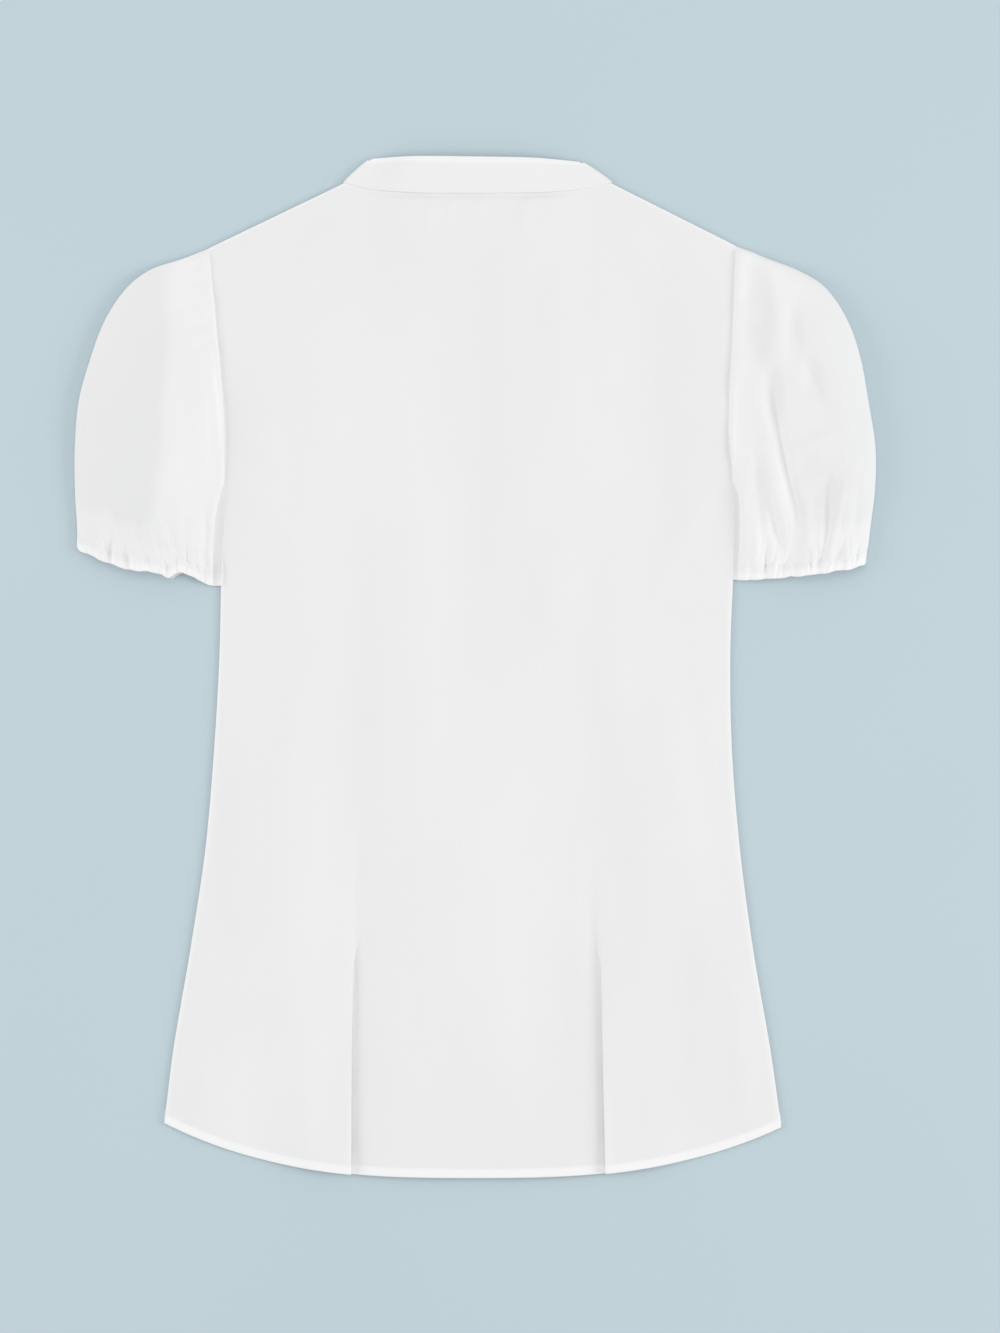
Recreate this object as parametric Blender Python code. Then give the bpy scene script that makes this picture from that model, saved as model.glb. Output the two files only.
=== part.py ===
"""A short-sleeved blouse with a band collar, laid flat on its front with its back uppermost.

Every size is in millimetres, and becomes metres when a mesh is made. X runs across the blouse towards the
wearer's right, Y runs up the body from hem to collar, and Z is the height above the surface it lies on.
A side is -1 for the wearer's left and 1 for the right.
"""

import math
from collections import namedtuple

import bmesh
import bpy
from mathutils import Vector

MM = 0.001
SIDES = {"left": -1, "right": 1}

# Cloth, and how its layers lie on each other.
WALL = 1.2
GAP = 0.3
LAYER = WALL + GAP

# Body outline. The edge at each height stands half_width from a centre line that leans sideways.
Edge = namedtuple("Edge", "y half_width lean")
BODY_EDGE = [
    Edge(y=-346.6, half_width=233.3, lean=-2.3),
    Edge(y=-291.8, half_width=226.1, lean=-2.7),
    Edge(y=-215.8, half_width=213.6, lean=-2.3),
    Edge(y=-139.8, half_width=202.9, lean=-1.7),
    Edge(y=-63.8, half_width=196.5, lean=-1.5),
    Edge(y=12.2, half_width=193.8, lean=0.0),
    Edge(y=103.4, half_width=194.8, lean=2.6),
    Edge(y=145.2, half_width=193.6, lean=2.6),
    Edge(y=184.7, half_width=191.9, lean=1.1),
    Edge(y=245.5, half_width=195.3, lean=0.0),
    Edge(y=317.0, half_width=200.3, lean=-1.8),
]
HEM_CORNER_Y = BODY_EDGE[0].y
UNDERARM_Y = 145.2
TIP_Y = BODY_EDGE[-1].y
HEM_LOW_Y = -387.6
HEM_POWER = 2.9
FRONT_HEM_LIFT = 2.5

# Neck. The shoulder seams run straight from the neck points to the shoulder tips.
NECK_Y = 368.6
NECK_HALF = 98.0
NECK_LEAN = 2.0
BACK_NECK_LOW_Y = 361.2
BACK_NECK_POWER = 4.0
FRONT_NECK_LOW_Y = 290.0
FRONT_NECK_POWER = 2.6

# Buttons, and the stand where the right front laps over the left one. The buttons lie lowest.
BUTTON_COUNT = 7
BUTTON_HEIGHT = 2.0
BUTTON_FIRST_Y = 276.0
BUTTON_STEP = 86.0
BUTTON_SIDES = 12
Turn = namedtuple("Turn", "radius z")
BUTTON_PROFILE = [
    Turn(radius=3.4, z=0.6),
    Turn(radius=4.2, z=0.0),
    Turn(radius=5.0, z=0.0),
    Turn(radius=5.6, z=0.7),
    Turn(radius=5.2, z=BUTTON_HEIGHT),
]
STAND_LAP = 12.0
STAND_FLAT = 14.0
STAND_RAMP = 18.0
STAND_LEVEL = {1: BUTTON_HEIGHT + GAP, -1: BUTTON_HEIGHT + GAP + LAYER}
RIDGE = STAND_LEVEL[-1]
RIDGE_FOOT = 88.0
RIDGE_NECK_FLAT = 52.0
RIDGE_SPREAD = 60.0

# Back pleats: two tucks let go above the waist. The side panels lap over the middle panel.
FoldLine = namedtuple("FoldLine", "y left right")
FOLD_LINES = [
    FoldLine(y=-387.6, left=93.5, right=98.0),
    FoldLine(y=-250.0, left=91.0, right=94.6),
    FoldLine(y=-160.0, left=88.6, right=92.6),
    FoldLine(y=0.0, left=87.5, right=92.5),
    FoldLine(y=368.6, left=96.0, right=100.0),
]
Pleat = namedtuple("Pleat", "lap closed_to_y fades_out_y")
PLEATS = {"left": Pleat(12.0, -215.0, -140.0), "right": Pleat(13.0, -180.0, -95.0)}
PLEAT_LEAST_LAP = 0.6
PLEAT_LEAST_TURN = 0.001
BEND_LENGTH = math.pi * LAYER / 2
BEND_STEPS = 3
PLEAT_SETTLES = 75.0

# Above each pleat the tuck's fullness stands as one long soft fold.
FULLNESS = {"left": -76.0, "right": 112.0}
FULLNESS_HEIGHT = 1.6
FULLNESS_WIDTH = 17.0
FULLNESS_FROM_Y = -150.0
FULLNESS_TO_Y = 150.0
FULLNESS_STARTS_OVER = 100.0
FULLNESS_ENDS_OVER = 160.0

# Panel columns and rows.
BODY_ROWS = 18
BACK_MIDDLE_COLUMNS = 6
BACK_SIDE_COLUMNS = 5
FRONT_RAMP_COLUMNS = 3
FRONT_NECK_COLUMNS = 5
FRONT_SHOULDER_COLUMNS = 4

# Sleeves. Each ring runs from the underarm edge (in) to the upper fold (out), and round beneath.
Ring = namedtuple("Ring", "station out_x out_y in_y loft gather")
SLEEVE_RINGS = {
    "left": [
        Ring(0, out_x=-202.1, out_y=317.0, in_y=145.2, loft=0.0, gather=0.0),
        Ring(1, out_x=-224.2, out_y=308.6, in_y=141.0, loft=6.5, gather=1.0),
        Ring(2, out_x=-247.0, out_y=300.6, in_y=136.5, loft=12.0, gather=0.7),
        Ring(3, out_x=-265.2, out_y=285.8, in_y=131.5, loft=16.0, gather=0.3),
        Ring(4, out_x=-281.5, out_y=263.0, in_y=126.0, loft=18.5, gather=0.2),
        Ring(5, out_x=-293.0, out_y=233.0, in_y=119.0, loft=20.0, gather=0.2),
        Ring(6, out_x=-300.5, out_y=200.0, in_y=110.0, loft=20.0, gather=0.3),
        Ring(7, out_x=-303.3, out_y=164.0, in_y=99.0, loft=18.0, gather=0.5),
        Ring(8, out_x=-303.3, out_y=133.0, in_y=88.0, loft=14.0, gather=0.9),
        Ring(9, out_x=-300.2, out_y=106.0, in_y=77.0, loft=10.0, gather=1.5),
        Ring(10, out_x=-302.0, out_y=90.5, in_y=66.0, loft=10.5, gather=1.7),
    ],
    "right": [
        Ring(0, out_x=198.5, out_y=317.0, in_y=145.2, loft=0.0, gather=0.0),
        Ring(1, out_x=223.5, out_y=309.2, in_y=141.0, loft=6.5, gather=1.0),
        Ring(2, out_x=245.0, out_y=300.4, in_y=136.5, loft=12.0, gather=0.9),
        Ring(3, out_x=265.5, out_y=286.0, in_y=131.5, loft=16.0, gather=0.6),
        Ring(4, out_x=281.5, out_y=262.5, in_y=126.0, loft=18.5, gather=0.4),
        Ring(5, out_x=291.3, out_y=232.6, in_y=119.0, loft=20.0, gather=0.3),
        Ring(6, out_x=298.5, out_y=200.0, in_y=110.0, loft=20.0, gather=0.4),
        Ring(7, out_x=303.3, out_y=164.0, in_y=99.0, loft=18.0, gather=0.6),
        Ring(8, out_x=303.3, out_y=131.0, in_y=88.0, loft=14.0, gather=0.9),
        Ring(9, out_x=299.0, out_y=102.0, in_y=77.0, loft=10.0, gather=1.5),
        Ring(10, out_x=296.0, out_y=79.5, in_y=66.0, loft=10.5, gather=1.7),
    ],
}
LAST_STATION = 10
SLEEVE_RING_COUNT = 13
SLEEVE_CLEARANCE = 1.0
ARMHOLE_CURVE_ENDS = 3

# Columns of a ring as shares of its width: closest at its two edges.
SLEEVE_EDGE_COLUMNS = [0.0, 0.002, 0.006, 0.022]
SLEEVE_FIRST_COLUMN = 0.06
SLEEVE_TOP_COLUMNS = 16
SLEEVE_UNDER_COLUMNS = 6

# How a sleeve's loft is spread: fullest towards the upper fold, and rounded in at the edges over these lofts.
SLEEVE_INNER_LOFT = 0.35
SLEEVE_FULL_AT = 0.6
SLEEVE_EDGE_LOFT = 0.25
SLEEVE_INNER_ROUND = 2.2
SLEEVE_OUTER_ROUND = 1.7
SLEEVE_UNDER_ROUND = 0.45

# Gathers on the elastic at the sleeve's hem, and the bowed, wavy edge that they give it.
SLEEVE_GATHERS = 4
SLEEVE_GATHER_START = 0.25
SLEEVE_HEM_BOW = 3.5
SLEEVE_BOW_STARTS = 6
SLEEVE_HEM_WAVE = 0.8
SLEEVE_WAVE_START = 0.1
SLEEVE_WAVE_POWER = 8

# The deepest creases on the uppermost side of the sleeves, as they lie in plan.
CREASE_FULL_LOFT = 12.0
Crease = namedtuple("Crease", "start end width depth")
SLEEVE_CREASES = {
    "left": [
        Crease(start=(-226.0, 282.0), end=(-222.0, 120.0), width=9.0, depth=3.0),
        Crease(start=(-262.0, 262.0), end=(-268.0, 150.0), width=11.0, depth=2.0),
    ],
    "right": [
        Crease(start=(224.0, 228.0), end=(243.0, 126.0), width=8.0, depth=3.6),
        Crease(start=(262.0, 268.0), end=(272.0, 152.0), width=10.0, depth=2.4),
    ],
}

# Band collar, folded flat on a slanting line at each side.
COLLAR_CORNERS = {"left": (-79.8, 386.2), "right": (78.6, 384.4)}
COLLAR_FOLD_INSET = 1.0
COLLAR_TOP_BOW = 2.2
COLLAR_BOW_POWER = 4
COLLAR_FRONT_HEIGHT = 26.0
COLLAR_LIFT = 1.0
COLLAR_END_GAP = 0.5
SLOPE_STEP = 0.1
COLLAR_WIDTH_STEPS = 2
COLLAR_FOLD_STEPS = 4


def mix(a, b, share):
    return a + (b - a) * share


def ease(share):
    """0 below 0, 1 above 1, and a smooth rise between them."""
    share = min(max(share, 0.0), 1.0)
    return share * share * (3 - 2 * share)


def read(table, at, column):
    """One column of a table, on a smooth curve through its rows. The first column says where each row is."""
    keys = [row[0] for row in table]
    values = [getattr(row, column) for row in table]
    at = min(max(at, keys[0]), keys[-1])
    i = max(k for k in range(len(keys) - 1) if keys[k] <= at)
    span = keys[i + 1] - keys[i]
    slopes = []
    for k in (i, i + 1):
        before, after = max(k - 1, 0), min(k + 1, len(keys) - 1)
        slopes.append((values[after] - values[before]) / (keys[after] - keys[before]))
    t = (at - keys[i]) / span
    line = values[i] * (1 + 2 * t) * (1 - t) ** 2 + values[i + 1] * t * t * (3 - 2 * t)
    return line + span * (slopes[0] * t * (1 - t) ** 2 - slopes[1] * t * t * (1 - t))


def body_x(y, side):
    """The body's edge at height y, straight between the rows that the back and the fronts share."""
    row_height = (TIP_Y - HEM_CORNER_Y) / BODY_ROWS
    row = min(max(int((y - HEM_CORNER_Y) / row_height), 0), BODY_ROWS - 1)
    ends = []
    for height in (HEM_CORNER_Y + row * row_height, HEM_CORNER_Y + (row + 1) * row_height):
        half_width = read(BODY_EDGE, height, "half_width")
        ends.append(side * half_width + read(BODY_EDGE, height, "lean"))
    return mix(*ends, (y - HEM_CORNER_Y) / row_height - row)


def hem_y(x):
    """The curved hem, lowest in the middle."""
    corner = BODY_EDGE[0]
    share = abs(x - corner.lean) / corner.half_width
    return mix(HEM_LOW_Y, HEM_CORNER_Y, share**HEM_POWER)


def neck_x(side):
    return side * NECK_HALF + NECK_LEAN


def top_y(x, low_y, power):
    """The upper edge of a panel: the neckline between the neck points, and the shoulder seams beyond them."""
    side = -1 if x < 0 else 1
    share = x / neck_x(side)
    if share <= 1:
        return mix(low_y, NECK_Y, share**power)
    tip = body_x(TIP_Y, side)
    return mix(NECK_Y, TIP_Y, (x - neck_x(side)) / (tip - neck_x(side)))


def back_top_y(x):
    return top_y(x, BACK_NECK_LOW_Y, BACK_NECK_POWER)


def front_top_y(x):
    return top_y(x, FRONT_NECK_LOW_Y, FRONT_NECK_POWER)


def front_level(x, side):
    """The underside of a front: on the surface, and raised over the buttons at the stand."""
    return STAND_LEVEL[side] * (1 - ease((side * x - STAND_FLAT) / STAND_RAMP))


def back_level(x, y):
    """The middle of the back's wall: one layer up, lifted over the stand and over the open neck."""
    flat = mix(STAND_FLAT, RIDGE_NECK_FLAT, ease((y - FRONT_NECK_LOW_Y) / RIDGE_SPREAD))
    lift = RIDGE * (1 - ease((abs(x) - flat) / (RIDGE_FOOT - flat)))
    along = ease((y - FULLNESS_FROM_Y) / FULLNESS_STARTS_OVER)
    along *= ease((FULLNESS_TO_Y - y) / FULLNESS_ENDS_OVER)
    for fold_x in FULLNESS.values():
        lift += FULLNESS_HEIGHT * along * math.exp(-(((x - fold_x) / FULLNESS_WIDTH) ** 2))
    return LAYER + WALL / 2 + lift


def principled(name, color, roughness, sheen):
    material = bpy.data.materials.new(name)
    material.use_nodes = True
    shader = material.node_tree.nodes["Principled BSDF"]
    shader.inputs["Base Color"].default_value = (*color, 1.0)
    shader.inputs["Roughness"].default_value = roughness
    shader.inputs["Sheen Weight"].default_value = sheen
    return material


def add_object(name, mesh_data, material):
    """Turns a finished bmesh into an object, with every face pointing out."""
    bmesh.ops.recalc_face_normals(mesh_data, faces=mesh_data.faces)
    mesh = bpy.data.meshes.new(name)
    mesh_data.to_mesh(mesh)
    mesh_data.free()
    mesh.materials.append(material)
    mesh.shade_smooth()
    mesh.set_sharp_from_angle(angle=math.radians(40))
    obj = bpy.data.objects.new(name, mesh)
    bpy.context.scene.collection.objects.link(obj)
    return obj


def cotton(name):
    return principled(f"{name}_cotton", (0.87, 0.87, 0.865), 0.85, 0.25)


def section_normals(points, across, ring):
    """Normals of a section that runs along a level direction, turned a quarter from each point's own run."""
    count = len(points)
    normals = []
    for k in range(count):
        if ring:
            run = points[(k + 1) % count] - points[k - 1]
        else:
            run = points[min(k + 1, count - 1)] - points[max(k - 1, 0)]
        normal = Vector((0, 0, run.dot(across))) - across * run.z
        normals.append(normal.normalized())
    return normals


def add_wall(name, rows, normals, ring=False):
    """A closed wall of cloth: the rows of its middle surface, moved half a wall to both sides."""
    cloth = bmesh.new()
    layers = []
    for way in (1, -1):
        layer = []
        for points, row_normals in zip(rows, normals):
            moved = [p + n * (way * WALL / 2) for p, n in zip(points, row_normals)]
            layer.append([cloth.verts.new(p * MM) for p in moved])
        layers.append(layer)
    outer, inner = layers
    columns = len(rows[0])
    spans = [(k, (k + 1) % columns) for k in range(columns if ring else columns - 1)]
    for layer in layers:
        for low, high in zip(layer, layer[1:]):
            for k, nxt in spans:
                cloth.faces.new((low[k], low[nxt], high[nxt], high[k]))
    for row in (0, -1):
        for k, nxt in spans:
            cloth.faces.new((outer[row][k], outer[row][nxt], inner[row][nxt], inner[row][k]))
    if not ring:
        for edge in (0, -1):
            for r in range(len(rows) - 1):
                near = (outer[r][edge], outer[r + 1][edge])
                cloth.faces.new((*near, inner[r + 1][edge], inner[r][edge]))
    return add_object(name, cloth, cotton(name))


def pleat_path(angle, lap):
    """Offsets of a pleat's cloth: down through a bend, back along the lap, and level through a second bend."""
    radius = BEND_LENGTH / angle
    turns = [angle * step / BEND_STEPS for step in range(BEND_STEPS + 1)]
    first = [(radius * math.sin(t), radius * (math.cos(t) - 1)) for t in turns]
    x = first[-1][0] + lap * math.cos(angle)
    z = first[-1][1] - lap * math.sin(angle)
    second = []
    for t in reversed(turns):
        bent_x = x + radius * (math.sin(angle) - math.sin(t))
        bent_z = z + radius * (math.cos(angle) - math.cos(t))
        second.append((bent_x, bent_z))
    return first + second


def back_half(side_name, share):
    """Half a section of the back as (x, height added by the pleat), from the centre line out to the edge."""
    side = SIDES[side_name]
    pleat = PLEATS[side_name]
    y = mix(HEM_LOW_Y, NECK_Y, share)
    fading = ease((y - pleat.closed_to_y) / (pleat.fades_out_y - pleat.closed_to_y))
    angle = math.pi * max(1 - fading, PLEAT_LEAST_TURN)
    closed = (y - HEM_LOW_Y) / (pleat.closed_to_y - HEM_LOW_Y)
    lap = max(pleat.lap * (1 - closed), PLEAT_LEAST_LAP)
    path = pleat_path(angle, lap)
    drop = -path[-1][1]
    reach = max(x for x, z in path)
    first_bend = read(FOLD_LINES, y, side_name) + reach
    middle_end = first_bend - path[-1][0]
    edge = side * body_x(mix(HEM_CORNER_Y, TIP_Y, share), side)
    half = [(middle_end * k / BACK_MIDDLE_COLUMNS, 0.0) for k in range(BACK_MIDDLE_COLUMNS)]
    half += [(first_bend - x, drop + z) for x, z in reversed(path)]
    for k in range(1, BACK_SIDE_COLUMNS + 1):
        out = mix(first_bend, edge, k / BACK_SIDE_COLUMNS)
        settled = ease((out - first_bend) / PLEAT_SETTLES)
        half.append((out, drop * (1 - settled)))
    return [(side * out, rise) for out, rise in half]


def back_section(share):
    """A whole section of the back, from the left edge to the right one."""
    left = back_half("left", share)
    return left[:0:-1] + back_half("right", share)


def add_back():
    hem, top = back_section(0), back_section(1)
    across = Vector((1, 0, 0))
    rows = []
    for r in range(BODY_ROWS + 1):
        share = r / BODY_ROWS
        row = []
        for (x, rise), (hem_x, _), (top_x, _) in zip(back_section(share), hem, top):
            y = mix(hem_y(hem_x), back_top_y(top_x), share)
            row.append(Vector((x, y, back_level(x, y) + rise)))
        rows.append(row)
    return add_wall("back", rows, [section_normals(row, across, False) for row in rows])


def front_columns(side, share):
    """Distances of a front's columns from the centre line, from the lapped edge out to the side seam."""
    edge = side * body_x(mix(HEM_CORNER_Y, TIP_Y, share), side)
    foot = STAND_FLAT + STAND_RAMP
    neck = mix(mix(foot, edge, 0.5), side * neck_x(side), share)
    columns = [-STAND_LAP, 0.0]
    columns += [mix(STAND_FLAT, foot, k / FRONT_RAMP_COLUMNS) for k in range(FRONT_RAMP_COLUMNS)]
    for k in range(FRONT_NECK_COLUMNS):
        columns.append(mix(foot, neck, math.sin(math.pi / 2 * k / FRONT_NECK_COLUMNS)))
    for k in range(FRONT_SHOULDER_COLUMNS + 1):
        columns.append(mix(neck, edge, k / FRONT_SHOULDER_COLUMNS))
    return columns


def add_front(side_name):
    side = SIDES[side_name]
    across = Vector((side, 0, 0))
    hem, top = front_columns(side, 0), front_columns(side, 1)
    rows = []
    for r in range(BODY_ROWS + 1):
        share = r / BODY_ROWS
        row = []
        for out, hem_out, top_out in zip(front_columns(side, share), hem, top):
            low = hem_y(side * hem_out) + FRONT_HEM_LIFT
            y = mix(low, front_top_y(side * top_out), share)
            row.append(Vector((side * out, y, front_level(side * out, side) + WALL / 2)))
        rows.append(row)
    normals = [section_normals(row, across, False) for row in rows]
    return add_wall(f"front_{side_name}", rows, normals)


def crease_depth(x, y, creases):
    """How far the creases press the cloth down at a place in plan."""
    place = Vector((x, y))
    depth = 0.0
    for crease in creases:
        start, end = Vector(crease.start), Vector(crease.end)
        run = end - start
        along = min(max((place - start).dot(run) / run.length_squared, 0), 1)
        away = (place - (start + run * along)).length / crease.width
        depth += crease.depth * math.sin(math.pi * along) ** 0.5 * math.exp(-(away**2))
    return depth


def rounded(distance, reach):
    """Height share of a quarter ellipse that starts upright and is level after its reach."""
    return math.sqrt(1 - (1 - min(distance / reach, 1)) ** 2)


def sleeve_plan(side, rings, station, share):
    """Where a ring's cloth lies in plan, from the underarm edge (share 0) to the upper fold (share 1)."""
    armhole_y = mix(UNDERARM_Y, TIP_Y, share)
    armhole = Vector((body_x(armhole_y, side) + side * GAP, armhole_y))
    tip = Vector((body_x(TIP_Y, side), TIP_Y))
    underarm = Vector((body_x(UNDERARM_Y, side), UNDERARM_Y))
    curve = (armhole - underarm.lerp(tip, share)) * (1 - ease(station / ARMHOLE_CURVE_ENDS))
    in_y = read(rings, station, "in_y")
    in_x = body_x(in_y, side) + side * SLEEVE_CLEARANCE * min(station, 1)
    out = Vector((read(rings, station, "out_x"), read(rings, station, "out_y")))
    place = Vector((in_x, in_y)).lerp(out, share) + curve
    bow = 4 * share * (1 - share) * ease((station - SLEEVE_BOW_STARTS) / (LAST_STATION - SLEEVE_BOW_STARTS))
    wave = math.sin(2 * math.pi * (SLEEVE_GATHERS * share + SLEEVE_WAVE_START))
    wave *= (station / LAST_STATION) ** SLEEVE_WAVE_POWER
    return place - Vector((0, SLEEVE_HEM_BOW * bow + SLEEVE_HEM_WAVE * wave))


def sleeve_ring(side_name, station):
    """One ring of a sleeve, over the top from the underarm edge and back underneath."""
    side = SIDES[side_name]
    rings = SLEEVE_RINGS[side_name]
    loft = read(rings, station, "loft")
    gather = read(rings, station, "gather")
    chord = (sleeve_plan(side, rings, station, 1) - sleeve_plan(side, rings, station, 0)).length
    floor = WALL / 2
    end = floor + LAYER / 2 + SLEEVE_EDGE_LOFT * loft

    def columns(count):
        inside = [mix(SLEEVE_FIRST_COLUMN, 1 - SLEEVE_FIRST_COLUMN, k / count) for k in range(count + 1)]
        return SLEEVE_EDGE_COLUMNS + inside + [1 - c for c in reversed(SLEEVE_EDGE_COLUMNS)]

    points = []
    for share in columns(SLEEVE_TOP_COLUMNS):
        x, y = sleeve_plan(side, rings, station, share)
        swell = mix(SLEEVE_INNER_LOFT, 1, ease(share / SLEEVE_FULL_AT))
        gathers = math.sin(2 * math.pi * (SLEEVE_GATHERS * share + SLEEVE_GATHER_START)) * gather
        shape = rounded(share * chord, LAYER / 2 + SLEEVE_INNER_ROUND * loft)
        shape *= rounded((1 - share) * chord, LAYER / 2 + SLEEVE_OUTER_ROUND * loft)
        press = crease_depth(x, y, SLEEVE_CREASES[side_name]) * min(loft / CREASE_FULL_LOFT, 1)
        peak = floor + LAYER + loft * swell + (gathers - press) * math.sin(math.pi * share)
        points.append(Vector((x, y, mix(end, peak, shape))))
    for share in reversed(columns(SLEEVE_UNDER_COLUMNS)[1:-1]):
        x, y = sleeve_plan(side, rings, station, share)
        under = LAYER / 2 + SLEEVE_UNDER_ROUND * loft
        shape = rounded(share * chord, under) * rounded((1 - share) * chord, under)
        points.append(Vector((x, y, mix(end, floor, shape))))
    return points


def add_sleeve(side_name):
    stations = [LAST_STATION * k / (SLEEVE_RING_COUNT - 1) for k in range(SLEEVE_RING_COUNT)]
    rows = [sleeve_ring(side_name, station) for station in stations]
    normals = []
    for row in rows:
        across = row[len(SLEEVE_EDGE_COLUMNS) * 2 + SLEEVE_TOP_COLUMNS] - row[0]
        across.z = 0
        normals.append(section_normals(row, across.normalized(), True))
    return add_wall(f"sleeve_{side_name}", rows, normals, ring=True)


def collar_seam_y(x):
    return back_top_y(x) + GAP


def collar_fold(side_name):
    """The two ends of the line that the band folds on: at the neck seam, and at the upper corner."""
    side = SIDES[side_name]
    seam_x = neck_x(side) - side * COLLAR_FOLD_INSET
    seam = Vector((seam_x, collar_seam_y(seam_x)))
    corner = Vector(COLLAR_CORNERS[side_name])
    inwards = Vector((-side, -1)).normalized() * (WALL + LAYER) / 2
    return seam, corner + inwards


def collar_front_sections(side_name):
    """The half of the band on one front, from its end at the centre out to the fold line."""
    side = SIDES[side_name]
    seam_end, corner_end = collar_fold(side_name)
    fold = corner_end - seam_end
    seam_columns = [out for out in front_columns(side, 1) if 0 < out < abs(seam_end.x)]
    sections = []
    for out in [COLLAR_END_GAP] + seam_columns:
        x = side * out
        share = out / abs(seam_end.x)
        slope = (front_top_y(x + SLOPE_STEP) - front_top_y(x - SLOPE_STEP)) / (2 * SLOPE_STEP)
        inwards = Vector((-slope, 1)).normalized()
        rib = inwards.lerp(fold.normalized(), ease(share)).normalized()
        height = mix(COLLAR_FRONT_HEIGHT, fold.length, share)
        seam = Vector((x, front_top_y(x))) + inwards * GAP
        level = front_level(x, side) + WALL / 2
        section = []
        for w in range(COLLAR_WIDTH_STEPS + 1):
            place = seam + rib * height * w / COLLAR_WIDTH_STEPS
            section.append(Vector((*place, level)))
        sections.append(section)
    return sections


def collar_fold_sections(side_name):
    """The band turning over on its fold line, from the front's layer up to the back's."""
    side = SIDES[side_name]
    seam_end, corner_end = collar_fold(side_name)
    fold = (corner_end - seam_end).normalized()
    outwards = Vector((-fold.y, fold.x)) if side < 0 else Vector((fold.y, -fold.x))
    radius = LAYER / 2
    sections = []
    for step in range(COLLAR_FOLD_STEPS + 1):
        turn = math.pi * step / COLLAR_FOLD_STEPS
        bulge = outwards * radius * math.sin(turn)
        level = WALL / 2 + radius * (1 - math.cos(turn))
        section = []
        for w in range(COLLAR_WIDTH_STEPS + 1):
            place = seam_end.lerp(corner_end, w / COLLAR_WIDTH_STEPS) + bulge
            section.append(Vector((*place, level)))
        sections.append(section)
    return sections


def collar_back_sections():
    """The half of the band that lies along the back neck, between the two folds."""
    left_seam, left_corner = collar_fold("left")
    right_seam, right_corner = collar_fold("right")
    sections = []
    for seam_x, _ in back_section(1):
        if not left_seam.x < seam_x < right_seam.x:
            continue
        share = (seam_x - left_seam.x) / (right_seam.x - left_seam.x)
        seam = Vector((seam_x, collar_seam_y(seam_x)))
        bow = COLLAR_TOP_BOW * (1 - (2 * share - 1) ** COLLAR_BOW_POWER)
        top = left_corner.lerp(right_corner, share) + Vector((0, bow))
        level = back_level(seam_x, seam.y)
        stand = COLLAR_LIFT * (1 - (2 * share - 1) ** COLLAR_BOW_POWER)
        section = []
        for w in range(COLLAR_WIDTH_STEPS + 1):
            up = w / COLLAR_WIDTH_STEPS
            place = seam.lerp(top, up)
            section.append(Vector((*place, level + stand * up)))
        sections.append(section)
    return sections


def add_collar():
    left = collar_front_sections("left") + collar_fold_sections("left")
    right = collar_front_sections("right") + collar_fold_sections("right")
    sections = left + collar_back_sections() + right[::-1]
    normals = []
    for k, section in enumerate(sections):
        before, after = sections[max(k - 1, 0)], sections[min(k + 1, len(sections) - 1)]
        rib = section[-1] - section[0]
        runs = [b - a for a, b in zip(before, after)]
        normals.append([run.cross(rib).normalized() for run in runs])
    return add_wall("collar", sections, normals)


def add_button(number):
    """A turned shirt button, its dished face down, under the right front."""
    y = BUTTON_FIRST_Y - BUTTON_STEP * (number - 1)
    button = bmesh.new()
    rings = []
    for turned in BUTTON_PROFILE:
        ring = []
        for k in range(BUTTON_SIDES):
            turn = 2 * math.pi * k / BUTTON_SIDES
            place = Vector((turned.radius * math.cos(turn), y + turned.radius * math.sin(turn), turned.z))
            ring.append(button.verts.new(place * MM))
        rings.append(ring)
    for low, high in zip(rings, rings[1:]):
        for k in range(BUTTON_SIDES):
            nxt = (k + 1) % BUTTON_SIDES
            button.faces.new((low[k], low[nxt], high[nxt], high[k]))
    button.faces.new(rings[0])
    button.faces.new(rings[-1])
    name = f"button_{number}"
    return add_object(name, button, principled(f"{name}_resin", (0.85, 0.84, 0.81), 0.3, 0.0))


for old in list(bpy.data.objects):
    bpy.data.objects.remove(old)

add_back()
for name in SIDES:
    add_front(name)
    add_sleeve(name)
add_collar()
for number in range(1, BUTTON_COUNT + 1):
    add_button(number)
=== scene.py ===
"""A short-sleeved white cotton blouse with a band collar and puff sleeves, laid with its back uppermost.

Sizes are in millimetres unless a comment says otherwise, and become metres when a mesh is made. X runs
across the blouse towards the wearer's right, Y up from the hem to the collar, and Z up from the board that
it lies on. A side is -1 for the wearer's left and 1 for the right.
"""

import math
from collections import namedtuple

import bpy
import numpy as np
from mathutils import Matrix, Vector, noise


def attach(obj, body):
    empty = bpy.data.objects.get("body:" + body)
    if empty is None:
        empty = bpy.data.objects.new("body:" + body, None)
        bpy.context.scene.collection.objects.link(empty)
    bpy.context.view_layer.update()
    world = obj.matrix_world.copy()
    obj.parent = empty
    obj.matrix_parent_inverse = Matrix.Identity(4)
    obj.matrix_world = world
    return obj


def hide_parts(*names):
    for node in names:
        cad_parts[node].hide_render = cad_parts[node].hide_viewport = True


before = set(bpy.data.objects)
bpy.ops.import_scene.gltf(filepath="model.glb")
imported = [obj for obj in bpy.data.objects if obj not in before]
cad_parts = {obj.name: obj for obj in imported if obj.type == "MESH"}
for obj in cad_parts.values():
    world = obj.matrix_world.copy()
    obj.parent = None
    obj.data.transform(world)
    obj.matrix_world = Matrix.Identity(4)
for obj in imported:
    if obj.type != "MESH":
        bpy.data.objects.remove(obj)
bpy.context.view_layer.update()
MM = 0.001
SIDES = {"left": -1, "right": 1}

# ---------------------------------------------------------------------------------------------------------
# The board, the light and the camera. The blouse lies on a board of matt pale blue-grey paint and is seen
# from straight above, in the light of the room, a wide lamp overhead and a lower one at each side.

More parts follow.
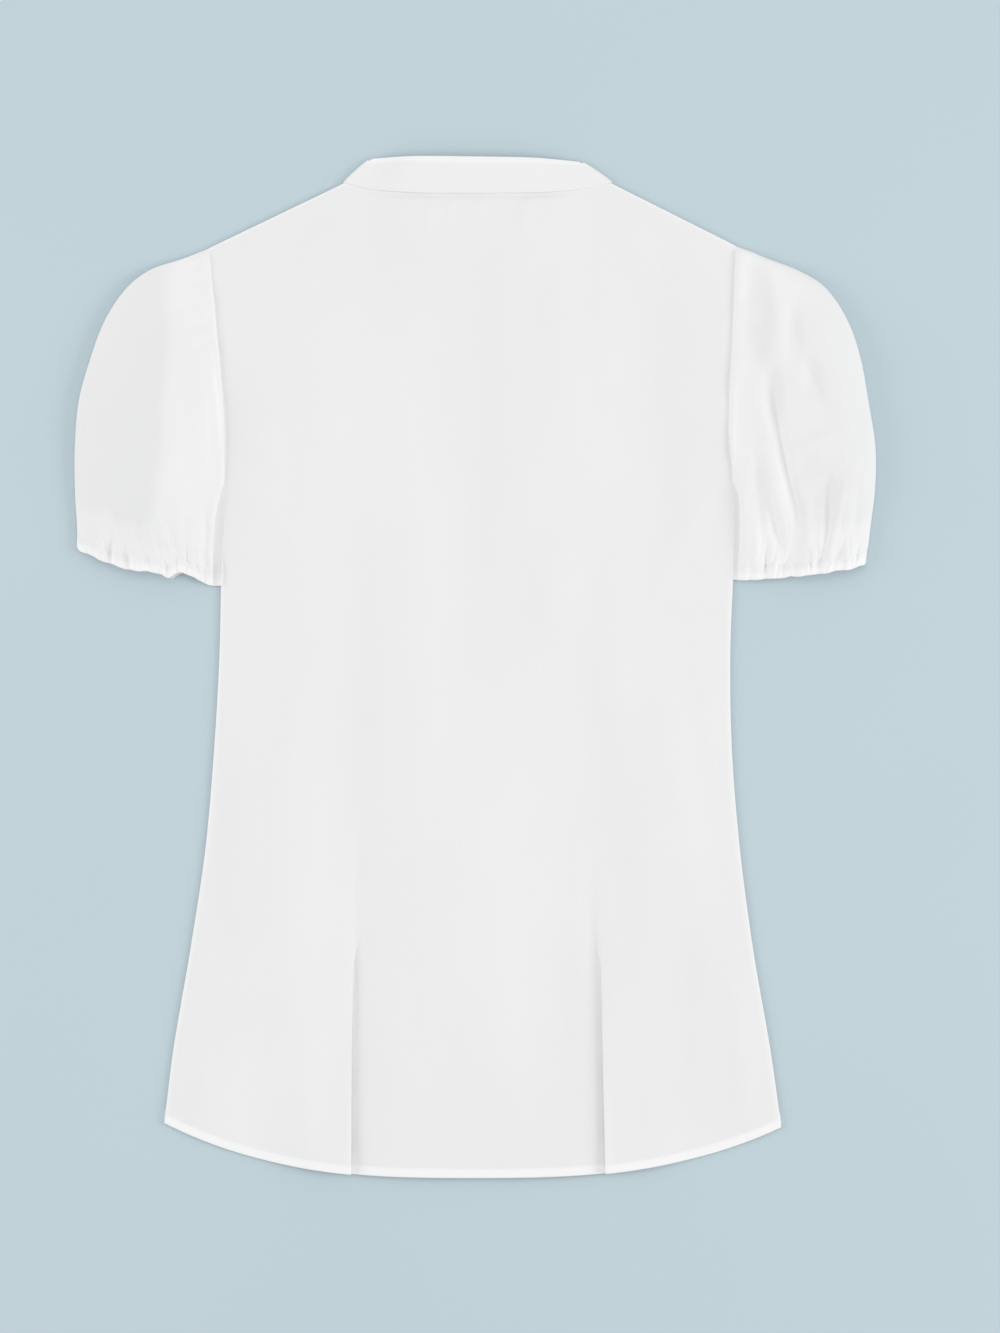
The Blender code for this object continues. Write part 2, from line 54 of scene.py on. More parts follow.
BOARD_SIDE = 9000.0
BOARD_TOP = -0.4
CAMERA_LENS = 100.0
VIEW_HEIGHT = 1013.1
VIEW_CENTRE_X = 19.0


def shader_of(material):
    return material.node_tree.nodes["Principled BSDF"]


def new_material(name):
    material = bpy.data.materials.new(name)
    material.use_nodes = True
    return material


def add_node(material, kind, inputs=(), **settings):
    """A new node with these settings, and with inputs given as (name or number, value)."""
    node = material.node_tree.nodes.new(kind)
    for name, value in settings.items():
        setattr(node, name, value)
    for name, value in inputs:
        node.inputs[name].default_value = value
    return node


def join(material, source, target):
    material.node_tree.links.new(source, target)


def two_tones(material, factor, first, second):
    """A colour that goes from the first to the second as the factor goes from 0 to 1."""
    tones = add_node(material, "ShaderNodeMix", data_type="RGBA")
    tones.inputs[6].default_value = (*first, 1)
    tones.inputs[7].default_value = (*second, 1)
    join(material, factor, tones.inputs[0])
    return tones.outputs[2]


def add_clouds(material, scale, detail, distortion=0.0):
    """Soft clouds that stay in place on the object, from 0 to 1."""
    place = add_node(material, "ShaderNodeTexCoord")
    inputs = [("Scale", scale), ("Detail", detail), ("Distortion", distortion)]
    clouds = add_node(material, "ShaderNodeTexNoise", inputs)
    join(material, place.outputs["Object"], clouds.inputs["Vector"])
    return clouds.outputs["Fac"]


def set_finish(material, colour, **numbers):
    """Gives the shader its colour and its plain numbers, with _ for a space in their names."""
    shader = shader_of(material)
    join(material, colour, shader.inputs["Base Color"])
    for name, value in numbers.items():
        shader.inputs[name.replace("_", " ")].default_value = value


def matt_paint():
    material = new_material("matt_paint")
    clouds = add_clouds(material, 2.5, 2.0)
    paint = two_tones(material, clouds, (0.515, 0.622, 0.672), (0.545, 0.648, 0.695))
    set_finish(material, paint, Roughness=0.9)
    return material


bpy.ops.object.select_all(action="DESELECT")
bpy.ops.mesh.primitive_plane_add(size=BOARD_SIDE * MM, location=(0, 0, BOARD_TOP * MM))
board = bpy.context.object
board.name = "board"
board.data.materials.append(matt_paint())

world = bpy.data.worlds.new("room")
world.use_nodes = True
world.node_tree.nodes["Background"].inputs["Color"].default_value = (0.993, 0.996, 1.0, 1)
world.node_tree.nodes["Background"].inputs["Strength"].default_value = 0.6
bpy.context.scene.world = world


def add_lamp(name, place, size, watts):
    """A square soft lamp that points at the middle of the blouse. Its place and size are in metres."""
    light = bpy.data.lights.new(name, "AREA")
    light.size = size
    light.energy = watts
    lamp = bpy.data.objects.new(name, light)
    lamp.location = place
    lamp.rotation_euler = (-Vector(place)).to_track_quat("-Z", "Y").to_euler()
    bpy.context.scene.collection.objects.link(lamp)


add_lamp("overhead_lamp", (0.1, 0.7, 3.6), 2.6, 25)
add_lamp("right_lamp", (3.5, -0.1, 1.6), 2.0, 56)
add_lamp("left_lamp", (-3.5, -0.1, 1.6), 2.0, 44)

camera = bpy.data.objects.new("camera", bpy.data.cameras.new("camera"))
camera.data.lens = CAMERA_LENS
camera_height = VIEW_HEIGHT * CAMERA_LENS / camera.data.sensor_width
camera.location = (VIEW_CENTRE_X * MM, 0, camera_height * MM)
bpy.context.scene.collection.objects.link(camera)
bpy.context.scene.camera = camera
bpy.context.scene.view_settings.view_transform = "Standard"

# ---------------------------------------------------------------------------------------------------------
# The back. One panel of white cotton poplin with a narrow double-turned hem. Two tucks open out into pleats
# below the waist, their side panels lapping over the middle one, and their fullness stands in soft folds.

CLOTH = 0.5
RIM_ROUND = 0.45
PITCH = 3.05
Edge = namedtuple("Edge", "y half_width lean")
BODY_EDGE = [
    Edge(-346.6, 233.9, -1.7),
    Edge(-291.8, 226.6, -2.2),
    Edge(-215.8, 213.6, -2.3),
    Edge(-139.8, 202.9, -1.7),
    Edge(-63.8, 196.5, -1.5),
    Edge(12.2, 193.8, 0.0),
    Edge(103.4, 194.8, 2.6),
    Edge(145.2, 193.6, 2.6),
    Edge(184.7, 191.9, 1.1),
    Edge(245.5, 195.3, 0.0),
    Edge(317.0, 200.3, -1.8),
]
HEM_CORNER_Y = BODY_EDGE[0].y
RIGHT_CORNER_LOWER = 3.2
UNDERARM_Y = 145.2
UNDERARM_HEIGHT = 12.0
TIP_Y = BODY_EDGE[-1].y
TIP_HIGHER = {"left": 0.6, "right": 2.2}
HEM_LOW_Y = -387.6
HEM_POWER = 2.9
NECK_Y = 368.6
NECK_HALF = 98.0
NECK_LEAN = 2.0
NECK_POINT_WIDTH = 4.0
BACK_NECK_LOW_Y = 361.2
BACK_NECK_POWER = 4.0

# The hem: how far up its stitching runs, and how thick its three layers are. Rows are closest along it.
HEM_STITCHED_AT = 7.2
HEM_PAST_STITCHES = 0.4
HEM_STEP = 0.8
HEM_WHITE_TO = 4.8
HEM_WHITE_FADES = 4.0
HEM_THICKNESS = 1.15
HEM_ROWS = [0.0, 0.6, 1.6, 3.0, 4.6, 6.2, HEM_STITCHED_AT, 8.0, 9.0, 11.0, 13.5]

# The back's cloth lies one layer over the fronts', and meets it at the side and shoulder seams.
BACK_LEVEL = 2.1
BACK_LOWEST = 1.45
HEM_LOWEST = 2.1
BODY_WHITER = 0.18
SEAM_DROP = 0.5
SEAM_REACH = 5.0
NECK_GROOVE = {"side": 0.4, "middle": 1.7}
NECK_GROOVE_AT = 3.3
NECK_GROOVE_WIDTH = 2.2
ALLOWANCE = 2.6
ARMHOLE_DROP = 0.8
ARMHOLE_REACH = 6.0

# It is lifted over the button stand, and over the open neck of the fronts.
RIDGE = 4.3
RIDGE_FLAT = 14.0
RIDGE_FOOT = {"above": 88.0, "below": 165.0}
RIDGE_WIDENS_Y = (-20.0, -150.0)
RIDGE_NECK_FLAT = 52.0
RIDGE_SPREAD = 60.0
FRONT_NECK_LOW_Y = 290.0

FoldLine = namedtuple("FoldLine", "y left right")
FOLD_LINES = [
    FoldLine(-387.6, 94.0, 99.0),
    FoldLine(-300.0, 93.6, 97.0),
    FoldLine(-200.0, 92.4, 95.2),
    FoldLine(0.0, 90.5, 94.5),
    FoldLine(368.6, 96.0, 100.0),
]
Pleat = namedtuple("Pleat", "lap closed_to_y fades_out_y")
PLEATS = {"left": Pleat(12.0, -252.0, -118.0), "right": Pleat(13.5, -248.0, -115.0)}
PLEAT_OPENS = 46.0
PLEAT_SLOPE = 0.48
PLEAT_SLOPE_LENGTH = 5.6
PLEAT_LEAST_LAP = 0.3
PLEAT_LEAST_TURN = 0.003
PLEAT_RADIUS = {"left": 1.25, "right": 1.15}
PLEAT_TIGHT_RADIUS = 0.8
BEND_STEPS = 7
PLEAT_SETTLES = 75.0
PLEAT_DIP = 1.3
PLEAT_DIP_REACH = 5.0


# Soft-edged patches of painted light and painted shade on the back, whiter or greyer than its own tone.
PaintedPatch = namedtuple("PaintedPatch", "x y half_width half_height whiter")
BACK_PAINTED_PATCHES = [
    PaintedPatch(-57, 183, 30, 90, 0.17),
    PaintedPatch(-30, 20, 17, 140, 0.15),
    PaintedPatch(20, -180, 42, 130, 0.18),
    PaintedPatch(89, 141, 19, 112, 0.15),
    PaintedPatch(-119, -232, 26, 165, 0.24),
    PaintedPatch(-110, 80, 16, 170, 0.12),
    PaintedPatch(-152, 164, 14, 38, 0.12),
    PaintedPatch(163, -79, 18, 84, 0.14),
    PaintedPatch(-179, -330, 26, 38, 0.17),
    PaintedPatch(13, 187, 19, 130, -0.13),
    PaintedPatch(53, 255, 14, 60, -0.11),
    PaintedPatch(42, 58, 14, 40, -0.13),
    PaintedPatch(150, 202, 16, 114, -0.18),
    PaintedPatch(118, -140, 21, 98, -0.17),
    PaintedPatch(74, -284, 12, 84, -0.15),
    PaintedPatch(-189, -140, 14, 68, -0.18),
    PaintedPatch(160, -261, 16, 68, -0.17),
]
PLACE_WANDERS = 9.0

# Away from its edges the cloth lies freely, in long and short waves of (height, seed, two lengths).
EDGE_CALM = 14.0
HEM_CALM = 30.0
BACK_WAVES = [(0.30, 3.0, 75, 170), (0.12, 8.0, 22, 34)]
PUCKER_HEIGHT = 0.5
PUCKER_REACH = 7.0
PUCKER_START = 2.5
HEM_RIPPLE = 0.22
HEM_RIPPLE_REACH = 5.0
HEM_RIPPLE_START = 3.0
HEM_SETTLES = 12.0
ALLOWANCE_WHITER = 0.8
PLEAT_WHITER = 0.5

# Soft folds: ridges, and troughs with a height below 0. Each fades out at its ends, and may be bowed.
Fold = namedtuple("Fold", "start end width height bow", defaults=[0])
BACK_FOLDS = [
    Fold((-88, -110), (-89, -330), 8, -1.4),
    Fold((-90.5, -120), (-92.5, -290), 5, -2.2),
    Fold((89, -100), (91, -330), 9, -1.4),
    Fold((-76, 150), (-76, -170), 17, 2.6, 4),
    Fold((112, 150), (112, -150), 17, 2.6, -5),
    Fold((24, 330), (30, -60), 32, -1.4, 6),
    Fold((-48, 320), (-40, -210), 22, 1.3, -8),
    Fold((96, 325), (100, 20), 22, 1.3, 5),
    Fold((-130, 205), (-122, 15), 10, -1.2, 3),
    Fold((-104, 300), (-98, 60), 13, 0.7),
    Fold((150, 300), (158, 90), 16, -0.9, 4),
    Fold((-192, 150), (-115, 55), 9, 1.3, 5),
    Fold((-180, 165), (-128, 118), 6, -0.7),
    Fold((190, 148), (128, 40), 10, 1.2, -5),
    Fold((168, 20), (182, -120), 9, 0.9, 3),
    Fold((-174, -40), (-170, -200), 18, -1.4, -4),
    Fold((-140, 20), (-152, -150), 10, 1.2, 5),
    Fold((-128, -236), (-192, -345), 8, 1.3, 4),
    Fold((-120, -250), (-128, -410), 11, 1.4, -3),
    Fold((-160, -280), (-176, -400), 12, -1.2),
    Fold((-204, -250), (-216, -380), 9, 1.3, 2),
    Fold((-64, -160), (-58, -410), 14, 1.3, -3),
    Fold((-22, -230), (-30, -420), 16, -1, 3),
    Fold((18, -120), (26, -400), 18, 1.3, -5),
    Fold((60, -250), (66, -420), 12, 1, 2),
    Fold((70, -60), (58, -240), 13, -1, 3),
    Fold((128, -190), (136, -405), 14, 1.6, 4),
    Fold((166, -230), (180, -400), 15, -1.3, -3),
    Fold((196, -200), (214, -390), 11, 1.4, -3),
    Fold((152, -60), (166, -210), 12, 1.2, 4),
    Fold((-94, -37), (-20, -41), 2.6, 0.4),
    Fold((-70, -178), (-36, -181), 2.6, 0.3),
    Fold((-36, 362), (-33, 326), 4, 1),
    Fold((-17, 362), (-21, 334), 3.5, 0.9),
    Fold((2, 362), (5, 328), 4, 0.9),
    Fold((40, 362), (37, 326), 4, 1.2),
    Fold((54, 362), (51, 336), 3.5, -0.9),
    Fold((-88, 352), (-150, 250), 12, 0.9, -6),
    Fold((92, 352), (160, 240), 13, 0.9, 6),
]


def mix(a, b, share):
    return a + (b - a) * share


def ease(share):
    """0 below 0, 1 above 1, and a smooth rise between them."""
    share = np.clip(share, 0.0, 1.0)
    return share * share * (3 - 2 * share)


def near(distance, reach):
    """1 at no distance, and a smooth fall to 0 at this reach."""
    return 1 - ease(distance / reach)


def bell(off_middle, width):
    """1 in the middle, fading out on both sides."""
    return np.exp(-((off_middle / width) ** 2))


def most(*shares):
    """The highest of several shares, place by place."""
    highest = shares[0]
    for share in shares[1:]:
        highest = np.maximum(highest, share)
    return highest


def read(table, at, column):
    """One column of a table, on a smooth curve through its rows. The first column places each row."""
    keys = np.array([row[0] for row in table], float)
    values = np.array([getattr(row, column) for row in table], float)
    rows = np.arange(len(keys))
    before, after = np.maximum(rows - 1, 0), np.minimum(rows + 1, len(keys) - 1)
    slopes = (values[after] - values[before]) / (keys[after] - keys[before])
    at = np.clip(at, keys[0], keys[-1])
    i = np.clip(np.searchsorted(keys, at, side="right") - 1, 0, len(keys) - 2)
    span = keys[i + 1] - keys[i]
    t = (at - keys[i]) / span
    line = values[i] * (1 + 2 * t) * (1 - t) ** 2 + values[i + 1] * t * t * (3 - 2 * t)
    return line + span * (slopes[i] * t * (1 - t) ** 2 - slopes[i + 1] * t * t * (1 - t))


def body_x(y, side):
    """The body's edge at height y."""
    return side * read(BODY_EDGE, y, "half_width") + read(BODY_EDGE, y, "lean")


def hem_y(x):
    """The curved hem, lowest in the middle."""
    corner = BODY_EDGE[0]
    share = np.abs(x - corner.lean) / corner.half_width
    corner_y = HEM_CORNER_Y - RIGHT_CORNER_LOWER * (x > corner.lean)
    return mix(HEM_LOW_Y, corner_y, share**HEM_POWER)


def neck_x(side):
    return side * NECK_HALF + NECK_LEAN


def tip_y(x):
    """The height of the shoulder tip on the side that x is on."""
    return TIP_Y + np.where(x < 0, TIP_HIGHER["left"], TIP_HIGHER["right"])


def top_y(x, low_y, power):
    """The upper edge of a panel: the neckline between the neck points, and the shoulder seams beyond."""
    neck = np.where(x < 0, neck_x(-1), neck_x(1))
    tip = np.where(x < 0, body_x(TIP_Y, -1), body_x(TIP_Y, 1))
    neckline = mix(low_y, NECK_Y, np.minimum(x / neck, 1) ** power)
    shoulder = mix(NECK_Y, tip_y(x), (x - neck) / (tip - neck))
    return np.where(x / neck <= 1, neckline, shoulder)


def back_top_y(x):
    return top_y(x, BACK_NECK_LOW_Y, BACK_NECK_POWER)


def beyond_neck(x):
    """0 below the neckline, and 1 below the shoulder seams."""
    return ease((np.abs(x - NECK_LEAN) - NECK_HALF) / NECK_POINT_WIDTH)


def beside_armhole(y):
    """0 below the underarm, and 1 beside the armhole."""
    return ease((y - UNDERARM_Y) / UNDERARM_HEIGHT + 0.5)


def in_hem(over_hem):
    """1 where the hem is turned up, and 0 above it."""
    return near(over_hem - HEM_STITCHED_AT - HEM_PAST_STITCHES, HEM_STEP)


def spaced(start, end, step, from_start=(0.0,), from_end=(0.0,)):
    """Places from start to end about a step apart, with the given distances from both ends among them."""
    way = 1 if end > start else -1
    near = [start + way * d for d in from_start]
    far = [end - way * d for d in reversed(from_end)]
    count = max(round(abs(far[0] - near[-1]) / step), 1)
    return np.array(near[:-1] + list(np.linspace(near[-1], far[0], count + 1)) + far[1:])


def fold_height(x, y, folds):
    """The height that soft folds add at places in plan."""
    total = np.zeros_like(x)
    for fold in folds:
        start = np.array(fold.start, float)
        run = np.array(fold.end, float) - start
        length = np.hypot(*run)
        run /= length
        along = ((x - start[0]) * run[0] + (y - start[1]) * run[1]) / length
        hump = np.clip(4 * along * (1 - along), 0, 1)
        away = (y - start[1]) * run[0] - (x - start[0]) * run[1] - fold.bow * hump
        total += fold.height * hump**1.3 * bell(away, fold.width)
    return total


def uneven(x, y, seed, length_x, length_y):
    """A smooth waviness between about -1 and 1, the same every time, for cloth that no one has ironed."""
    places = zip(x.ravel() / length_x, y.ravel() / length_y)
    return np.array([noise.noise(Vector((a, b, seed))) for a, b in places]).reshape(x.shape)


def unit(vectors):
    return vectors / np.maximum(np.linalg.norm(vectors, axis=-1, keepdims=True), 1e-9)


def grid_normals(grid, wrap=False):
    """Normals of a grid of points, which face a viewer with its columns to the right and its rows up."""
    if wrap:
        across = np.roll(grid, -1, axis=1) - np.roll(grid, 1, axis=1)
    else:
        across = np.gradient(grid, axis=1)
    return unit(np.cross(across, np.gradient(grid, axis=0)))


def travelled(points, axis=0):
    """Distances along lines of points, from the first point of each."""
    steps = np.linalg.norm(np.diff(points, axis=axis), axis=-1)
    start = np.zeros_like(np.take(steps, [0], axis=axis))
    return np.cumsum(np.concatenate([start, steps], axis=axis), axis=axis)


def border_loops(rows, columns, wrap):
    """The borders of a grid as loops of (row, column), in the order in which its faces go round."""
    bottom = [(0, c) for c in range(columns)]
    top = [(rows - 1, c) for c in reversed(range(columns))]
    if wrap:
        return [bottom, top]
    right = [(r, columns - 1) for r in range(1, rows - 1)]
    left = [(r, 0) for r in reversed(range(1, rows - 1))]
    return [bottom + right + top + left]


def add_cloth(name, grid, outside, inside, white_share, wrap=False):
    """A closed wall of poplin round a grid of points, its two faces at these distances, its edges rounded.

    The white share says how white the cloth looks: 1 where it is folded or sewn double, and on the back and
    the sleeves it also carries painted light and painted shade. Returns the piece, its outer face and its
    normals.
    """
    rows, columns = grid.shape[:2]
    outside, inside, white_share = (np.broadcast_to(a, (rows, columns)) for a in (outside, inside, white_share))
    normals = grid_normals(grid, wrap)
    outer = grid + normals * outside[..., None]
    inner = grid - normals * inside[..., None]
    count = rows * columns
    r, c = np.meshgrid(np.arange(rows - 1), np.arange(columns if wrap else columns - 1), indexing="ij")
    c_next = (c + 1) % columns
    quads = np.stack([(r, c), (r, c_next), (r + 1, c_next), (r + 1, c)], -1)
    quads = (quads[0] * columns + quads[1]).reshape(-1, 4)

    across = travelled(np.concatenate([grid, grid[:, :1]], axis=1), axis=1)
    along = travelled(grid, axis=0)
    along = np.concatenate([along, along[:, :1]], axis=1)
    across = across - across[:, columns // 2, None]
    corners = [(r, c), (r, c + 1), (r + 1, c + 1), (r + 1, c)]
    weave = np.stack([np.stack([across[at], along[at]], -1) for at in corners], 2).reshape(-1, 4, 2)

    points = [outer.reshape(-1, 3), inner.reshape(-1, 3)]
    white_shares = [white_share.ravel(), white_share.ravel()]
    faces = [quads, quads[:, ::-1] + count]
    weaves = [weave, weave[:, ::-1]]
    for loop in border_loops(rows, columns, wrap):
        row, column = np.array(loop).T
        inwards_row = np.clip(row, 1, rows - 2)
        inwards_column = column if wrap else np.clip(column, 1, columns - 2)
        away = unit(grid[row, column] - grid[inwards_row, inwards_column])
        thickness = (outside + inside)[row, column, None]
        first = sum(len(block) for block in points)
        points.append((outer + inner)[row, column] / 2 + away * thickness * RIM_ROUND)
        white_shares.append(white_share[row, column])
        rim = first + np.arange(len(loop))
        side = row * columns + column
        rim_next, side_next = np.roll(rim, -1), np.roll(side, -1)
        faces.append(np.stack([side_next, side, rim, rim_next], -1))
        faces.append(np.stack([rim_next, rim, side + count, side_next + count], -1))
        here = np.stack([across[row, column], along[row, column]], -1)
        there = np.roll(here, -1, axis=0)
        weaves += 2 * [np.stack([there, here, here, there], 1)]

    mesh = bpy.data.meshes.new(name)
    mesh.from_pydata((np.concatenate(points) * MM).tolist(), [], np.concatenate(faces).tolist())
    mesh.uv_layers.new(name="weave").data.foreach_set("uv", (np.concatenate(weaves) * MM).ravel())
    mesh.attributes.new("white_share", "FLOAT", "POINT").data.foreach_set("value", np.concatenate(white_shares))
    piece = add_piece(name, mesh, poplin(f"{name}_poplin"))
    return piece, outer, normals


def add_piece(name, mesh, material):
    """A mesh as a smooth piece that goes with the blouse, and can be given other colours by its slot."""
    mesh.materials.append(material)
    mesh.shade_smooth()
    piece = bpy.data.objects.new(name, mesh)
    bpy.context.scene.collection.objects.link(piece)
    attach(piece, "root")
    return piece


def add_bump(material, height, strength, distance):
    """Fine relief from a height. The distance is in metres."""
    bump = add_node(material, "ShaderNodeBump", [("Strength", strength), ("Distance", distance)])
    join(material, height, bump.inputs["Height"])
    join(material, bump.outputs["Normal"], shader_of(material).inputs["Normal"])


def poplin(name):
    """Matt white poplin: a fine plain weave with slubs and a faint sheen, whiter where it lies double, and
    with painted light and painted shade where its white share gives them.
    """
    thread_pitch = 0.00055
    material = new_material(name)
    weave = add_node(material, "ShaderNodeUVMap", uv_map="weave")
    ways = add_node(material, "ShaderNodeSeparateXYZ")
    crossing = add_node(material, "ShaderNodeMath", operation="MULTIPLY")
    slubs = add_node(material, "ShaderNodeMath", operation="ADD")
    join(material, weave.outputs["UV"], ways.inputs["Vector"])
    for k, stretch in enumerate([(900, 70, 1), (70, 900, 1)]):
        turns = add_node(material, "ShaderNodeMath", [(1, math.pi / thread_pitch)], operation="MULTIPLY")
        wave = add_node(material, "ShaderNodeMath", operation="SINE")
        join(material, ways.outputs[k], turns.inputs[0])
        join(material, turns.outputs[0], wave.inputs[0])
        join(material, wave.outputs[0], crossing.inputs[k])
        squeeze = add_node(material, "ShaderNodeMapping", [("Scale", stretch)])
        slub = add_node(material, "ShaderNodeTexNoise", [("Scale", 1.0), ("Detail", 2.0)])
        join(material, weave.outputs["UV"], squeeze.inputs["Vector"])
        join(material, squeeze.outputs["Vector"], slub.inputs["Vector"])
        join(material, slub.outputs["Fac"], slubs.inputs[k])
    relief = add_node(material, "ShaderNodeMath", [(1, 0.35)], operation="MULTIPLY_ADD")
    join(material, crossing.outputs[0], relief.inputs[0])
    join(material, slubs.outputs[0], relief.inputs[2])
    add_bump(material, relief.outputs[0], 0.35, 0.00012)

    clouds = add_clouds(material, 14.0, 3.0)
    single = two_tones(material, clouds, (0.803, 0.805, 0.805), (0.827, 0.825, 0.821))
    # The white share lightens the cloth's own tone where it lies double and where light is painted; where
    # shade is painted it is lowered.
    white_shares = add_node(material, "ShaderNodeAttribute", attribute_name="white_share")
    white = add_node(material, "ShaderNodeMix", [(7, (0.915, 0.915, 0.912, 1))], data_type="RGBA")
    join(material, white_shares.outputs["Fac"], white.inputs[0])
    join(material, single, white.inputs[6])
    finish = dict(Roughness=0.82, Specular_IOR_Level=0.3, Sheen_Weight=0.12, Sheen_Roughness=0.45)
    set_finish(material, white.outputs[2], **finish)
    return material


# A stitch is a tapered dash of thread, as (place along it, thickness there), both as shares.
STITCH_SHAPE = [(-0.36, 0.75), (0.0, 1.0), (0.36, 0.75)]
STITCH_SIDES = 6
STITCH_STEP = 2.9
STITCH_LENGTH = 2.35
STITCH_THICKNESS = 0.42
STITCH_ARCH = 1.6
STITCH_DIP = 0.25
Stitch = namedtuple("Stitch", "middle direction normal length thickness")


def stitch_line(line, normals):
    """Running stitches along a line of points on cloth."""
    along = travelled(line)
    stitches = []
    for k in range(int(along[-1] // STITCH_STEP)):
        middle = (k + 0.5) * STITCH_STEP
        ends = np.array([middle - STITCH_LENGTH / 2, middle + STITCH_LENGTH / 2])
        start, end = np.stack([np.interp(ends, along, line[:, axis]) for axis in range(3)], -1)
        normal = normals[min(np.searchsorted(along, middle), len(normals) - 1)]
        length = np.linalg.norm(end - start)
        direction = (end - start) / length
        stitches.append(Stitch((start + end) / 2, direction, normal, length, STITCH_THICKNESS))
    return stitches


def add_stitches(name, stitches):
    """Many stitches as one piece. Each is a little arched, with its pointed ends just in the cloth."""
    points, faces = [], []
    for stitch in stitches:
        first = len(points)
        sideways = np.cross(stitch.normal, stitch.direction)
        dip = stitch.normal * STITCH_DIP * stitch.thickness
        points.append(stitch.middle - stitch.direction * stitch.length / 2 - dip)
        for along, size in STITCH_SHAPE:
            spine = stitch.middle + stitch.direction * along * stitch.length
            arch = (0.5**2 - along**2) * STITCH_ARCH - STITCH_DIP
            spine = spine + stitch.normal * arch * stitch.thickness
            for s in range(STITCH_SIDES):
                turn = 2 * math.pi * s / STITCH_SIDES
                out = sideways * math.cos(turn) + stitch.normal * math.sin(turn)
                points.append(spine + out * size * stitch.thickness / 2)
        points.append(stitch.middle + stitch.direction * stitch.length / 2 - dip)
        ring, tail = first + 1, len(points) - 1
        for s in range(STITCH_SIDES):
            nxt = (s + 1) % STITCH_SIDES
            faces.append((first, ring + nxt, ring + s))
            for low in (ring, ring + STITCH_SIDES):
                faces.append((low + s, low + nxt, low + STITCH_SIDES + nxt, low + STITCH_SIDES + s))
            last = ring + 2 * STITCH_SIDES
            faces.append((tail, last + s, last + nxt))
    mesh = bpy.data.meshes.new(name)
    mesh.from_pydata((np.array(points) * MM).tolist(), [], faces)
    return add_piece(name, mesh, sewing_thread(f"{name}_thread"))


def sewing_thread(name):
    """White twisted cotton thread, a little glossier than the poplin."""
    material = new_material(name)
    twist = add_clouds(material, 3000.0, 1.0)
    tint = two_tones(material, twist, (0.80, 0.80, 0.79), (0.93, 0.93, 0.92))
    set_finish(material, tint, Roughness=0.55)
    add_bump(material, twist, 0.4, 0.00005)
    return material


def cloth_area(grid, wrap=False):
    """The area of the cloth that follows a grid, in square millimetres."""
    if wrap:
        grid = np.concatenate([grid, grid[:, :1]], axis=1)
    across = (grid[1:, 1:] - grid[1:, :-1] + grid[:-1, 1:] - grid[:-1, :-1]) / 2
    along = (grid[1:, 1:] - grid[:-1, 1:] + grid[1:, :-1] - grid[:-1, :-1]) / 2
    return float(np.linalg.norm(np.cross(across, along), axis=-1).sum())


def back_level(x, y):
    """The middle of the back's cloth before its folds: lifted over the stand and over the open neck."""
    flat = mix(RIDGE_FLAT, RIDGE_NECK_FLAT, ease((y - FRONT_NECK_LOW_Y) / RIDGE_SPREAD))
    from_y, to_y = RIDGE_WIDENS_Y
    foot = mix(RIDGE_FOOT["above"], RIDGE_FOOT["below"], ease((y - from_y) / (to_y - from_y)))
    return BACK_LEVEL + RIDGE * near(np.abs(x) - flat, foot - flat)


def pleat_path(angle, lap, drop):
    """Offsets of a pleat's cloth: down through a bend, back along the lap, and level through another."""
    radius = (drop - lap * math.sin(angle)) / (2 - 2 * math.cos(angle))
    turns = np.linspace(0, angle, BEND_STEPS + 1)
    first_x, first_z = radius * np.sin(turns), radius * (np.cos(turns) - 1)
    x = first_x[-1] + lap * math.cos(angle)
    z = first_z[-1] - lap * math.sin(angle)
    second_x = x + radius * (math.sin(angle) - np.sin(turns[::-1]))
    second_z = z + radius * (math.cos(angle) - np.cos(turns[::-1]))
    return np.concatenate([first_x, second_x]), np.concatenate([first_z, second_z])


def back_half(side_name, share):
    """Half a section of the back, from the centre line out: x, the height the pleat adds, and its laps."""
    side = SIDES[side_name]
    pleat = PLEATS[side_name]
    y = mix(HEM_LOW_Y, NECK_Y, share)
    fading = ease((y - pleat.closed_to_y) / (pleat.fades_out_y - pleat.closed_to_y))
    folded = near(y - pleat.closed_to_y, PLEAT_OPENS)
    slope = max(PLEAT_SLOPE * (1 - fading), PLEAT_LEAST_TURN)
    angle = mix(slope, math.pi, folded)
    closed = (y - HEM_LOW_Y) / (pleat.closed_to_y - HEM_LOW_Y)
    lap = max(pleat.lap * (1 - closed), PLEAT_LEAST_LAP)
    bend_radius = mix(PLEAT_RADIUS[side_name], PLEAT_TIGHT_RADIUS, min(closed, 1))
    drop = mix(PLEAT_SLOPE_LENGTH * slope, 4 * bend_radius, folded)
    path_x, path_z = pleat_path(angle, lap, drop)
    first_bend = read(FOLD_LINES, y, side_name) + bend_radius
    middle_end = first_bend - path_x[-1]
    edge = side * body_x(mix(HEM_CORNER_Y, TIP_Y, share), side)
    middle = middle_end * MIDDLE_SHARES
    outer = mix(first_bend, edge, SIDE_SHARES)
    x = np.concatenate([middle, first_bend - path_x[::-1], outer])
    settling = drop * near(outer - first_bend, PLEAT_SETTLES)
    rise = np.concatenate([middle * 0, drop + path_z[::-1], settling])
    # The middle panel sinks towards the fold that lies on it. The cloth is triple where the pleat laps.
    opened = max(1 - closed, 0)
    lowest = near(rise, 2 * bend_radius)
    sunk = np.where(x < first_bend, np.exp((x - first_bend) / PLEAT_DIP_REACH), 0) * lowest * opened**0.7
    lapped = np.concatenate([middle * 0, path_x * 0 + 1, near(outer - first_bend, lap)]) * opened**0.5
    return side * x, rise - PLEAT_DIP * sunk, lapped


